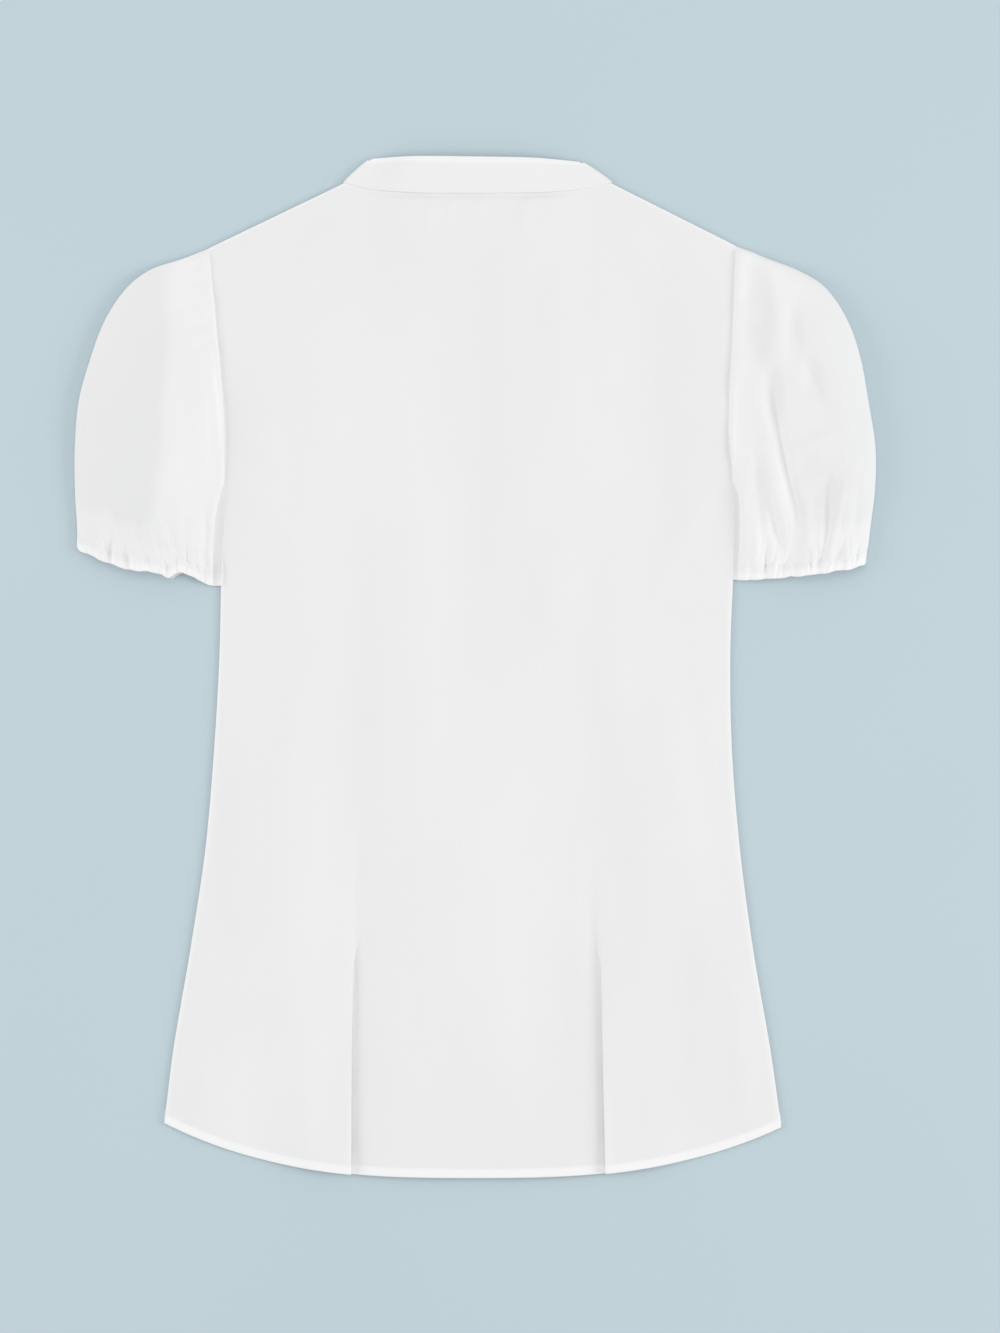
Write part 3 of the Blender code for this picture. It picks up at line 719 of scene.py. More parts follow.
MIDDLE_SHARES = np.arange(30) / 30
SIDE_WIDTH = 115.0
SIDE_SHARES = spaced(0.0, 1.0, PITCH / SIDE_WIDTH, from_end=(0.0, 0.004, 0.010, 0.018, 0.029, 0.042))[1:]


def back_section(share):
    """A whole section of the back, from the left edge to the right one."""
    halves = zip(back_half("left", share), back_half("right", share))
    return [np.concatenate([left[:0:-1], right]) for left, right in halves]


def panel_rows(low, high, shares):
    """Y of a panel's points, row by row: at fixed distances over the hem, then at shares of the rest."""
    start = low + HEM_ROWS[-1]
    return np.array([low + up for up in HEM_ROWS] + [mix(start, high, share) for share in shares[1:]])


BACK_HEIGHT = NECK_Y - HEM_LOW_Y
NEAR_TOP = (0.0, 0.0007, 0.002, 0.004, 0.006, 0.008, 0.011)
BACK_ROW_SHARES = spaced(0.0, 1.0, PITCH / BACK_HEIGHT, from_end=NEAR_TOP)
hem_x, top_x = back_section(0.0)[0], back_section(1.0)[0]
back_y = panel_rows(hem_y(hem_x), back_top_y(top_x), BACK_ROW_SHARES)
middle = back_y[:, len(hem_x) // 2]
sections = [back_section((y - HEM_LOW_Y) / (middle[-1] - HEM_LOW_Y)) for y in middle]
back_x, back_rise, back_triple = (np.array(part) for part in zip(*sections))

over_hem = back_y - back_y[0]
to_side = np.minimum(back_x - back_x[:, :1], back_x[:, -1:] - back_x)
to_top = back_y[-1] - back_y
at_shoulder = beyond_neck(back_x)
at_armhole = beside_armhole(back_y)
level = back_level(back_x, back_y)
back_z = level + back_rise
lying = ease(to_side / EDGE_CALM) * ease(over_hem / HEM_CALM + 0.45) * ease(to_top / EDGE_CALM)
back_z = back_z + fold_height(back_x, back_y, BACK_FOLDS) * lying
for height, seed, length_x, length_y in BACK_WAVES:
    back_z = back_z + height * lying * uneven(back_x, back_y, seed, length_x, length_y)

# It drops to its seams. A groove runs below the collar, and fine puckers along the armholes and hem.
back_z = back_z - SEAM_DROP * near(to_side, SEAM_REACH) * (1 - at_armhole)
back_z = back_z - ARMHOLE_DROP * near(to_side, ARMHOLE_REACH) * at_armhole
back_z = back_z - SEAM_DROP * near(to_top, SEAM_REACH) * at_shoulder
neck_groove = bell(to_top - NECK_GROOVE_AT, NECK_GROOVE_WIDTH)
neck_groove = neck_groove * (1 + 0.7 * uneven(back_x, back_y, 15.0, 34, 90))
shade_patch = (level - BACK_LEVEL) / RIDGE
groove_depth = mix(NECK_GROOVE["side"], NECK_GROOVE["middle"], shade_patch)
back_z = back_z - groove_depth * neck_groove * (1 - at_shoulder)
puckers = uneven(back_x, back_y, 5.0, 60, 7) * np.exp(-to_side / PUCKER_REACH)
back_z = back_z + PUCKER_HEIGHT * (puckers * ease(to_side / PUCKER_START)) * at_armhole
off_stitching = np.abs(over_hem - HEM_STITCHED_AT)
ripples = uneven(back_x, back_y, 6.0, 9, 30) * np.exp(-off_stitching / HEM_RIPPLE_REACH)
back_z = back_z + HEM_RIPPLE * ripples * ease(over_hem / HEM_RIPPLE_START)
lowest = mix(HEM_LOWEST, BACK_LOWEST, ease((over_hem - HEM_STITCHED_AT) / HEM_SETTLES))
back_z = np.maximum(back_z, lowest)
back_grid = np.stack([back_x, back_y, back_z], -1)

# It is whitest in the hem, the seams and the pleats, where the cloth lies double, and its patches of painted
# light and painted shade have soft, wandering edges.
seams = np.exp(-to_side / ALLOWANCE) * (1 - at_armhole), np.exp(-to_top / ALLOWANCE) * at_shoulder
hem_whiter = near(over_hem - HEM_WHITE_TO, HEM_WHITE_FADES)
body_painted_tone = BODY_WHITER
wanders_x = back_x + PLACE_WANDERS * uneven(back_x, back_y, 90.0, 30, 60)
wanders_y = back_y + 3 * PLACE_WANDERS * uneven(back_x, back_y, 95.0, 30, 60)
# Painted light where a patch's share is above 0, painted shade where it is below.
for place in BACK_PAINTED_PATCHES:
    off_x = (wanders_x - place.x) / place.half_width
    off_y = (wanders_y - place.y) / place.half_height
    body_painted_tone = body_painted_tone + place.whiter * np.exp(-(off_x**2) - off_y**4)
sewn_whiter = ALLOWANCE_WHITER * np.maximum(*seams)
back_white_share = most(hem_whiter, sewn_whiter, PLEAT_WHITER * back_triple, body_painted_tone, 0)
back_inside = CLOTH / 2 + (HEM_THICKNESS - CLOTH) * in_hem(over_hem)
back, back_face, back_normals = add_cloth("blouse_back", back_grid, CLOTH / 2, back_inside, back_white_share)
hem_row = HEM_ROWS.index(HEM_STITCHED_AT)
hem_stitches = stitch_line(back_face[hem_row], back_normals[hem_row])
back_stitching = add_stitches("back_hem_stitching", hem_stitches)
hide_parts("back")

HEM_TURNED = 16.0
SEAM_ALLOWANCE = 12.0
ARMHOLE_ALLOWANCES = 110.0


back_width = travelled(back_grid[0])[-1] + 2 * SEAM_ALLOWANCE
side_length = travelled(back_grid[:, 0])[-1]
back_area = cloth_area(back_grid) + back_width * HEM_TURNED
back_area += 2 * (side_length + ARMHOLE_ALLOWANCES) * SEAM_ALLOWANCE

# ---------------------------------------------------------------------------------------------------------
# The fronts. Each is one panel of the same poplin, outside down, sewn to the back at the shoulder and side.
# Its centre edge is folded over as the button stand, and stitched along both sides. The right one laps over.

FRONT_PITCH = 3.6
FRONT_NECK_POWER = 2.6
FRONT_HEM_LIFT = 2.5
STAND_LAP = 12.0
STAND_FLAT = 14.0
STAND_RAMP = 18.0
STAND_LEVEL = {1: 2.3, -1: 3.8}
STAND_STITCH_INSET = 2.5
STAND_THICKNESS = 1.0
STAND_EDGE = 1.2
STAND_PITCH = 2.0
FRONT_WIDTH = 200.0
FRONT_RISE = 0.85
NECK_EDGE_RISE = 0.35
NECK_EDGE_REACH = 8.0
FRONT_CALM = 25.0
FRONT_HEM_CALM = 40.0
FRONT_WAVES = 0.08
FRONT_FOLDS = {
    "left": [
        Fold((-150, 130), (-118, -150), 22, 0.6, 8),
        Fold((-66, 240), (-76, -60), 14, 0.5, -6),
        Fold((-182, -130), (-202, -350), 13, 0.6, 5),
        Fold((-108, -180), (-122, -390), 15, 0.6, -4),
    ],
    "right": [
        Fold((146, 120), (128, -170), 20, 0.6, -7),
        Fold((70, 230), (64, -40), 14, 0.5, 5),
        Fold((178, -140), (202, -350), 14, 0.6, -5),
        Fold((105, -200), (112, -390), 16, 0.6, 4),
    ],
}


def front_top_y(x):
    return top_y(x, FRONT_NECK_LOW_Y, FRONT_NECK_POWER)


def front_level(out, side):
    """The lower face of a front: on the board, and raised over the buttons at the stand."""
    return STAND_LEVEL[side] * near(out - STAND_FLAT, STAND_RAMP)


def add_front(side_name):
    """One front as a piece, with its stitching and its cut."""
    side = SIDES[side_name]
    stand = spaced(-STAND_LAP, STAND_FLAT + 4, STAND_PITCH, from_start=(0.0, 0.5, 1.4))
    shares = spaced(0.0, 1.0, FRONT_PITCH / FRONT_WIDTH, from_end=(0.0, 0.003, 0.008, 0.016, 0.027))[1:]

    def columns(edge):
        return np.concatenate([stand, mix(stand[-1], edge, shares)])

    hem_out = columns(side * body_x(HEM_CORNER_Y, side))
    top_out = columns(side * body_x(TIP_Y, side))
    row_shares = spaced(0.0, 1.0, FRONT_PITCH / BACK_HEIGHT, from_end=(0.0, 0.001, 0.003))
    y = panel_rows(hem_y(side * hem_out) + FRONT_HEM_LIFT, front_top_y(side * top_out), row_shares)
    height = (y[:, 0] - y[0, 0]) / (y[-1, 0] - y[0, 0])
    edges = side * body_x(mix(HEM_CORNER_Y, TIP_Y, height), side)
    out = np.array([columns(edge) for edge in edges])
    x = side * out
    over_hem = y - y[0]
    to_side = edges[:, None] - out
    to_top = y[-1] - y
    at_shoulder = beyond_neck(x)
    at_neck = (1 - at_shoulder) * ease(out / NECK_POINT_WIDTH)
    at_hem = in_hem(over_hem)
    at_armhole = beside_armhole(y)
    at_stand = near(out - STAND_FLAT, STAND_EDGE)
    z = front_level(out, side) + CLOTH / 2
    z = z + FRONT_RISE * near(to_side, SEAM_REACH) * (1 - at_armhole) * (1 - at_hem)
    z = z + FRONT_RISE * near(to_top, SEAM_REACH) * at_shoulder
    z = z + NECK_EDGE_RISE * near(to_top, NECK_EDGE_REACH) * at_neck
    off_stand = out - STAND_FLAT - STAND_RAMP
    lying = ease(off_stand / FRONT_CALM) * ease(to_side / FRONT_CALM)
    lying = lying * ease(over_hem / FRONT_HEM_CALM + 0.3)
    folds = np.maximum(fold_height(x, y, FRONT_FOLDS[side_name]), 0)
    z = z + lying * (folds + FRONT_WAVES + FRONT_WAVES * uneven(x, y, 12.0, 60, 120))
    grid = np.stack([x, y, z], -1)
    white_share = most(at_hem, at_stand, BODY_WHITER)
    turned_in = most((HEM_THICKNESS - CLOTH) * at_hem, (STAND_THICKNESS - CLOTH) * at_stand)
    inside = CLOTH / 2 + turned_in
    if side > 0:
        grid, inside, white_share = grid[:, ::-1], inside[:, ::-1], white_share[:, ::-1]
    name = f"blouse_front_{side_name}"
    piece, face, normals = add_cloth(name, grid, CLOTH / 2, inside, white_share)
    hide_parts(f"front_{side_name}")

    stitches = stitch_line(face[hem_row], normals[hem_row])
    for stitched_out in (STAND_STITCH_INSET - STAND_LAP, STAND_FLAT - STAND_STITCH_INSET):
        column = int(np.argmin(np.abs(side * face[hem_row, :, 0] - stitched_out)))
        stitches += stitch_line(face[hem_row:-2, column], normals[hem_row:-2, column])
    stitching = add_stitches(f"front_{side_name}_stitching", stitches)


for side_name in SIDES:
    add_front(side_name)

# ---------------------------------------------------------------------------------------------------------
# The sleeves. Each is one panel of poplin sewn into a tube and set into the armhole, with a little fullness
# eased in at the shoulder. Its hem is turned up over narrow elastic, which draws the puff in.

# Rings of the tube from the armhole to the hem: where its two edges lie, and how high its top stands.
Ring = namedtuple("Ring", "station out_x out_y in_y loft")
SLEEVE_RINGS = {
    "left": [
        Ring(0, -202.1, 317.6, 145.2, 0.0),
        Ring(1, -224.2, 308.6, 141.0, 6.5),
        Ring(2, -247.0, 300.6, 136.5, 12.0),
        Ring(3, -265.2, 285.8, 131.5, 16.0),
        Ring(4, -281.0, 261.6, 126.0, 18.5),
        Ring(5, -292.2, 231.2, 119.0, 20.0),
        Ring(6, -300.5, 200.0, 110.0, 20.0),
        Ring(7, -303.3, 164.0, 99.0, 18.0),
        Ring(8, -303.3, 133.0, 88.0, 14.0),
        Ring(9, -301.8, 106.0, 77.0, 10.0),
        Ring(10, -301.8, 88.9, 61.4, 10.5),
    ],
    "right": [
        Ring(0, 198.5, 319.2, 145.2, 0.0),
        Ring(1, 223.5, 309.2, 141.0, 5.5),
        Ring(2, 245.0, 300.6, 136.5, 10.0),
        Ring(3, 265.5, 287.6, 131.5, 13.5),
        Ring(4, 282.0, 263.5, 126.0, 16.0),
        Ring(5, 292.3, 234.0, 119.0, 17.0),
        Ring(6, 298.5, 200.0, 110.0, 17.0),
        Ring(7, 303.6, 167.0, 99.0, 15.5),
        Ring(8, 303.4, 135.0, 88.0, 12.5),
        Ring(9, 299.0, 102.0, 77.0, 10.0),
        Ring(10, 296.4, 76.6, 66.0, 10.5),
    ],
}
LAST_STATION = 10
STATIONS = [np.linspace(0, 0.6, 16), np.linspace(0.6, 9, 58)[1:], np.linspace(9, LAST_STATION, 42)[1:]]
STATIONS = np.concatenate(STATIONS)
TOP_COLUMNS = 134
UNDER_COLUMNS = 56
EDGE_COLUMNS = np.array([0.0, 0.001, 0.003, 0.006, 0.011, 0.018, 0.027, 0.038])
INNER_COLUMNS = (0.052, 0.948)
ARMHOLE_LAP = 0.4
SLEEVE_TUCKED_UNDER = 0.2
ARMHOLE_CURVE_ENDS = 3
SLEEVE_FLOOR = CLOTH / 2
SLEEVE_LAYER = BACK_LEVEL - CLOTH / 2
SLEEVE_EDGE_LOFT = {"in": 0.10, "out": 0.25}

# Each puff stands low near the body, rises to its crest, and falls a little beyond it.
Puff = namedtuple("Puff", "inner_loft rise_width falls")
PUFFS = {"left": Puff(0.25, 0.38, 0.80), "right": Puff(0.36, 0.75, 0.15)}
SLEEVE_INNER_ROUND = 1.1
SLEEVE_OUTER_ROUND = 1.7
SLEEVE_UNDER_ROUND = 0.45
SLEEVE_HEM_BOW = {"left": 1.5, "right": 2.6}
SLEEVE_BOW_STARTS = 6
SLEEVE_CORNER_RADIUS = 2.6
SLEEVE_CORNER_STARTS = 9.0
HEM_WAVINESS = 1.4

# The turned-up casing of the elastic, and the seam allowances that lie in the sleeve along the armhole.
CASING = 9.5
CASING_THICKNESS = 1.1
CASING_FADES = 0.8
CASING_STITCH_DEPTH = 0.3
CASING_STITCH_WIDTH = 1.1
HEM_WHITER = {"edge": 1.0, "casing": 0.45}
HEM_EDGE_WIDTH = 3.0
HEM_EDGE_FADES = 4.0
SEAM_RIDGE = 1.3
SEAM_RIDGE_STEP = 3.2
SEAM_RIDGE_WIDTH = 7.5
RIDGE_FADES_IN = 16.0
RIDGE_FADES_OUT = 6.0
SEWN_FLAT = 2.0
ALLOWANCE_BAND = {"at": 6.4, "width": 3.4, "least": 0.35, "length": 38.0}
ALLOWANCE_SHOWS_AT = {"left": 202.0, "right": 182.0}

# Under the arm, each puff's top stands back from the body, and its underside shows beside it.
StandBack = namedtuple("StandBack", "distance full_at")
TOP_STANDS_BACK = {"left": StandBack(6.5, 8.0), "right": StandBack(3.7, 4.5)}

# Gathers run round the whole sleeve: how many, how high and long, and how far from the hem they reach.
Gather = namedtuple("Gather", "count height length reach")
HEM_GATHERS = [
    Gather(62, 1.7, 13, 8),
    Gather(36, 2.7, 24, 15),
    Gather(17, 3.8, 46, 30),
]
CAP_GATHERS = [Gather(22, 1.6, 40, 24)]
GATHERED_AT_EDGE = 0.37
GATHERED_AT_FOLD = 0.35
GATHERS_OFF_FOLD = 14.0
GATHERS_OFF_ARMHOLE = 20.0
CAP_GATHERS_OFF_ARMHOLE = 12.0
SLEEVE_WAVES = 0.5
FOLDS_END = 4.0
FOLDS_FADE = 14.0
FOLD_DEPTH = 4.5
FOLD_DEPTH_OFF_EDGE = 9.0

# A band of painted light on each sleeve's top, beside the body and along the hem, for its brighter inner
# part: how far from the body it reaches, how soft its edge is, and how much whiter it is painted.
Layer = namedtuple("Layer", "reach edge whiter")
PAINTED_LIGHT_BANDS = {
    "left": Layer(reach=(27.0, 46.0), edge=13.0, whiter=0.46),
    "right": Layer(reach=(22.0, 22.0), edge=88.0, whiter=0.60),
}
PAINTED_LIGHT_AT_HEM = 30.0
PAINTED_LIGHT_HEM_EDGE = 9.0
PAINTED_LIGHT_HEM_SHARE = 0.7
PAINTED_LIGHT_WANDERS = 6.0

# Soft-edged patches of painted shade on the right sleeve's top, where its painted light is taken back.
ShadePatch = namedtuple("ShadePatch", "x y half_width half_height share")
PAINTED_SHADE_PATCHES = {
    "left": [],
    "right": [
        ShadePatch(217, 268, 10, 40, 0.72),
        ShadePatch(228, 205, 6, 22, 0.7),
        ShadePatch(217, 130, 6, 26, 0.5),
        ShadePatch(243, 249, 6, 20, 0.6),
        ShadePatch(258, 212, 7, 18, 0.6),
        ShadePatch(257, 134, 14, 28, 0.8),
    ],
}
SHADE_PATCH_EDGE = 0.8

# Where the hem hangs lower than its line, or is drawn up above it.
Tuck = namedtuple("Tuck", "x drop width")
HEM_TUCKS = {
    "left": [
        Tuck(-268, 3.8, 24),
        Tuck(-230.5, 2.6, 4),
        Tuck(-215.5, -4.2, 12),
    ],
    "right": [],
}
SLEEVE_SEAM_WIDTH = 6.0
SLEEVE_FOLDS = {
    "left": [
        Fold((-236, 318), (-233, 112), 8, 1.3, 2),
        Fold((-222, 296), (-219, 112), 7, -1.2, 2),
        Fold((-263, 270), (-268, 140), 12, -1.0, 3),
        Fold((-282, 250), (-287, 130), 9, 0.8, 3),
        Fold((-207, 250), (-205, 128), 5, 0.9),
        Fold((-258, 128), (-248, 84), 4, -1.7),
        Fold((-231, 112), (-226, 70), 4, -2.2),
        Fold((-291, 142), (-290, 84), 4, -2.2),
        Fold((-284, 140), (-282, 90), 3, 1.5),
        Fold((-272, 128), (-270, 92), 3.5, -0.9),
        Fold((-203, 122), (-204, 78), 3.5, -2.2),
        Fold((-240, 132), (-238, 88), 4, 1.4),
        Fold((-234, 94), (-230, 68), 3, -2.4),
        Fold((-214, 116), (-216, 76), 3, 1.3),
    ],
    "right": [
        Fold((223, 216), (249, 94), 3.8, -4.0, -2),
        Fold((214, 222), (238, 90), 5.5, 1.0, -2),
        Fold((220, 238), (231, 172), 6, -3.2),
        Fold((214, 316), (212, 216), 7.5, -3.4, 2),
        Fold((229, 284), (231, 222), 5, 0.9),
        Fold((238, 292), (246, 222), 6, -1.9),
        Fold((247, 252), (267, 186), 6.5, -2.0, -2),
        Fold((260, 286), (284, 196), 9, 0.8, -4),
        Fold((236, 158), (300, 182), 5, 2.2, 4),
        Fold((246, 128), (290, 150), 11, -3.4),
        Fold((289, 166), (280, 98), 13, 2.6),
        Fold((268, 148), (265.5, 88), 3.2, -2.7),
        Fold((283, 152), (270, 88), 4, 2.0),
        Fold((213.5, 176), (218.5, 84), 3.6, -3.2),
        Fold((218, 142), (232, 86), 3.4, -3.2),
        Fold((291, 142), (286, 86), 3.5, -2.0),
        Fold((252, 130), (251, 80), 4, 1.6),
    ],
}


def rounded(distance, reach):
    """Height share of a quarter ellipse that starts upright and is level after its reach."""
    return np.sqrt(1 - (1 - np.minimum(distance / reach, 1)) ** 2)


def sleeve_plan(side_name, station, share):
    """Where the cloth lies in plan, from the underarm edge (share 0) to the upper fold (share 1)."""
    side = SIDES[side_name]
    rings = SLEEVE_RINGS[side_name]
    armhole_y = mix(UNDERARM_Y, tip_y(side), share)
    armhole_x = body_x(armhole_y, side) - side * ARMHOLE_LAP
    straight_x = mix(body_x(UNDERARM_Y, side), body_x(TIP_Y, side), share)
    curve = (armhole_x - straight_x) * near(station, ARMHOLE_CURVE_ENDS)
    in_y = read(rings, station, "in_y")
    in_x = body_x(in_y, side) - side * SLEEVE_TUCKED_UNDER * np.minimum(station, 1)
    out_x = read(rings, station, "out_x")
    x = mix(in_x, out_x, share) + curve
    y = mix(in_y, read(rings, station, "out_y"), share)

    # The hem is bowed, with a rounded corner under the arm, and waves a little where its gathers end.
    to_hem = ease((station - SLEEVE_BOW_STARTS) / (LAST_STATION - SLEEVE_BOW_STARTS))
    bow = 4 * share * (1 - share) * to_hem
    at_hem_end = ease((station - SLEEVE_CORNER_STARTS) / (LAST_STATION - SLEEVE_CORNER_STARTS))
    to_corner = (1 - share) * np.abs(out_x - in_x) / SLEEVE_CORNER_RADIUS
    corner = SLEEVE_CORNER_RADIUS * (1 - rounded(to_corner, 1)) * at_hem_end
    gathered_end = at_hem_end * ease(share * 12)
    wavy = HEM_WAVINESS * uneven(x, y * 0, 33.0 * side, 9, 9) * gathered_end
    for tuck in HEM_TUCKS[side_name]:
        wavy = wavy - tuck.drop * bell(x - tuck.x, tuck.width) * gathered_end
    return x, y - SLEEVE_HEM_BOW[side_name] * bow + corner + wavy


def gather_height(gathers, around, distance, seed):
    """Round gathers with sharp valleys between them, at places from 0 to 1 around the sleeve."""
    total = np.zeros(np.broadcast_shapes(around.shape, distance.shape))
    place = total + around
    distance = total + distance
    for k, gather in enumerate(gathers):
        wave = uneven(place, distance, seed + 1.7 * k, 1 / gather.count, gather.length)
        total = total + gather.height * (2 * np.abs(wave) - 0.4) * np.exp(-distance / gather.reach)
    return total


def edge_level(share, loft):
    """The height of the tube's two edges, where the top turns over into the underside."""
    edge_loft = mix(SLEEVE_EDGE_LOFT["in"], SLEEVE_EDGE_LOFT["out"], ease(share))
    return CLOTH / 2 + SLEEVE_LAYER / 2 + edge_loft * loft


# A sleeve's points, and for each of them where it is on the tube.
Tube = namedtuple("Tube", "grid share on_top chord loft from_armhole from_hem off_fold")


def column_shares(count):
    """Places across one face of the tube, closest at its two edges."""
    inside = np.linspace(*INNER_COLUMNS, count)
    return np.concatenate([EDGE_COLUMNS, inside, 1 - EDGE_COLUMNS[::-1]])[None, :]


def sleeve_tube(side_name):
    """The smooth tube of a sleeve: its top from the underarm to the upper fold, then its underside."""
    puff = PUFFS[side_name]
    stands_back = TOP_STANDS_BACK[side_name]
    station = STATIONS[:, None]
    loft = read(SLEEVE_RINGS[side_name], station, "loft")
    over = column_shares(TOP_COLUMNS)
    under = column_shares(UNDER_COLUMNS)[:, -2:0:-1]
    top_x, top_y = sleeve_plan(side_name, station, over)
    low_x, low_y = sleeve_plan(side_name, station, under)
    set_back = SIDES[side_name] * stands_back.distance * ease(station / stands_back.full_at)
    top_x = top_x + set_back * (1 - over) ** 3
    chord = np.hypot(top_x[:, -1:] - top_x[:, :1], top_y[:, -1:] - top_y[:, :1])

    swell = mix(puff.inner_loft, 1, ease(over / puff.rise_width))
    swell = swell * (1 - puff.falls * ease((over - puff.rise_width) / (1 - puff.rise_width)))
    shape = rounded(over * chord, SLEEVE_LAYER / 2 + SLEEVE_INNER_ROUND * puff.inner_loft * loft)
    shape *= rounded((1 - over) * chord, SLEEVE_LAYER / 2 + SLEEVE_OUTER_ROUND * loft)
    top_z = mix(edge_level(over, loft), SLEEVE_FLOOR + SLEEVE_LAYER + loft * swell, shape)
    reach = SLEEVE_LAYER / 2 + SLEEVE_UNDER_ROUND * loft
    low_shape = rounded(under * chord, reach) * rounded((1 - under) * chord, reach)
    low_z = mix(edge_level(under, loft), SLEEVE_FLOOR, low_shape)

    faces = [np.stack([top_x, top_y, top_z], -1), np.stack([low_x, low_y, low_z], -1)]
    grid = np.concatenate(faces, axis=1)
    share = np.concatenate([over, under], axis=1)
    on_top = np.concatenate([over * 0 + 1, under * 0], axis=1)
    from_armhole = travelled(grid, axis=0)
    off_fold = np.minimum(share, 1 - share) * chord
    return Tube(grid, share, on_top, chord, loft, from_armhole, from_armhole[-1] - from_armhole, off_fold)


def sleeve_relief(side_name, tube, seed):
    """How far the cloth stands off its tube: gathers, folds, and the ridge of the seam's allowances."""
    grid, share, on_top, chord, loft, from_armhole, from_hem, off_fold = tube
    x, y = grid[..., 0], grid[..., 1]
    around = travelled(np.concatenate([grid[-1], grid[-1:, 0]]))
    off_seam = ease(np.minimum(around, around[-1] - around)[:-1] / SLEEVE_SEAM_WIDTH)[None, :]
    around = (around[:-1] / around[-1])[None, :]
    relief = gather_height(HEM_GATHERS, around, from_hem, seed)
    relief = relief * ease(from_armhole / GATHERS_OFF_ARMHOLE) * off_seam
    relief = relief * mix(GATHERED_AT_EDGE, 1, ease(from_hem / CASING))
    relief = relief * mix(GATHERED_AT_FOLD, 1, ease((1 - share) * chord / GATHERS_OFF_FOLD))
    cap = gather_height(CAP_GATHERS, around, from_armhole, seed + 20)
    cap = cap * ease(share * 2.5 - 0.9) * ease(from_armhole / CAP_GATHERS_OFF_ARMHOLE)
    relief = relief + cap * on_top

    full = ease(loft / 12) * np.sin(math.pi * share) ** 0.5 * on_top
    folds = fold_height(x, y, SLEEVE_FOLDS[side_name])
    relief = relief + folds * full * ease((from_hem - FOLDS_END) / FOLDS_FADE)
    relief = relief + SLEEVE_WAVES * uneven(x, y, seed + 30, 34, 60) * full

    ridge = ease(from_armhole / SEAM_RIDGE_STEP)
    ridge = ridge * bell(np.maximum(from_armhole - SEAM_RIDGE_STEP, 0), SEAM_RIDGE_WIDTH)
    ridge = ridge * ease(share * chord[0] / RIDGE_FADES_IN)
    ridge = ridge * ease((1 - share) * chord[0] / RIDGE_FADES_OUT)
    ridge_share = np.clip(0.95 + 1.3 * uneven(x, y, seed + 40, 60, 30), 0.3, 1.6)
    relief = relief + SEAM_RIDGE * ridge_share * ridge * on_top
    relief = relief - CASING_STITCH_DEPTH * bell(from_hem - CASING, CASING_STITCH_WIDTH)
    return np.maximum(relief, -FOLD_DEPTH * ease(off_fold / FOLD_DEPTH_OFF_EDGE))


def in_casing(from_hem):
    """1 in the turned-up casing of the elastic, and 0 above it."""
    return near(from_hem - CASING, CASING_FADES)


def sleeve_whiteness(side_name, tube, seed):
    """How white a sleeve looks: doubled in its casing and over the allowances, with painted light beside the
    body and along the hem, and painted shade in patches.
    """
    x, y, on_top, from_hem = tube.grid[..., 0], tube.grid[..., 1], tube.on_top, tube.from_hem
    off_middle = y - ALLOWANCE_SHOWS_AT[side_name]
    shows = mix(ALLOWANCE_BAND["least"], 1, bell(off_middle, ALLOWANCE_BAND["length"]))
    allowances = bell(tube.from_armhole - ALLOWANCE_BAND["at"], ALLOWANCE_BAND["width"]) * shows * on_top

    # Painted light: the top is painted whiter in a band beside the body and in one along the hem.
    painted_band = PAINTED_LIGHT_BANDS[side_name]
    down_sleeve = ease((TIP_Y - y) / (TIP_Y - SLEEVE_RINGS[side_name][-1].in_y))
    band_reach = mix(*painted_band.reach, down_sleeve) + PAINTED_LIGHT_WANDERS * uneven(x, y, seed + 60, 40, 30)
    from_body = np.abs(x - body_x(y, SIDES[side_name]))
    beside_body = near(from_body - band_reach, painted_band.edge)
    off_hem = (from_hem - PAINTED_LIGHT_AT_HEM) / PAINTED_LIGHT_HEM_EDGE
    near_hem = 1 - ease(off_hem - 0.8 * uneven(x, y, seed + 70, 16, 40))
    painted_light = np.maximum(beside_body, PAINTED_LIGHT_HEM_SHARE * near_hem) * on_top
    # Painted shade: the painted light is taken back in soft patches.
    for shade_patch in PAINTED_SHADE_PATCHES[side_name]:
        off_centre = np.hypot((x - shade_patch.x) / shade_patch.half_width, (y - shade_patch.y) / shade_patch.half_height)
        painted_light = painted_light * (1 - shade_patch.share * ease((1 - off_centre) / SHADE_PATCH_EDGE + 0.5))

    off_edge = ease((from_hem - HEM_EDGE_WIDTH) / HEM_EDGE_FADES)
    hem = mix(HEM_WHITER["edge"], HEM_WHITER["casing"], off_edge)
    return most(in_casing(from_hem) * hem, allowances, painted_band.whiter * painted_light)


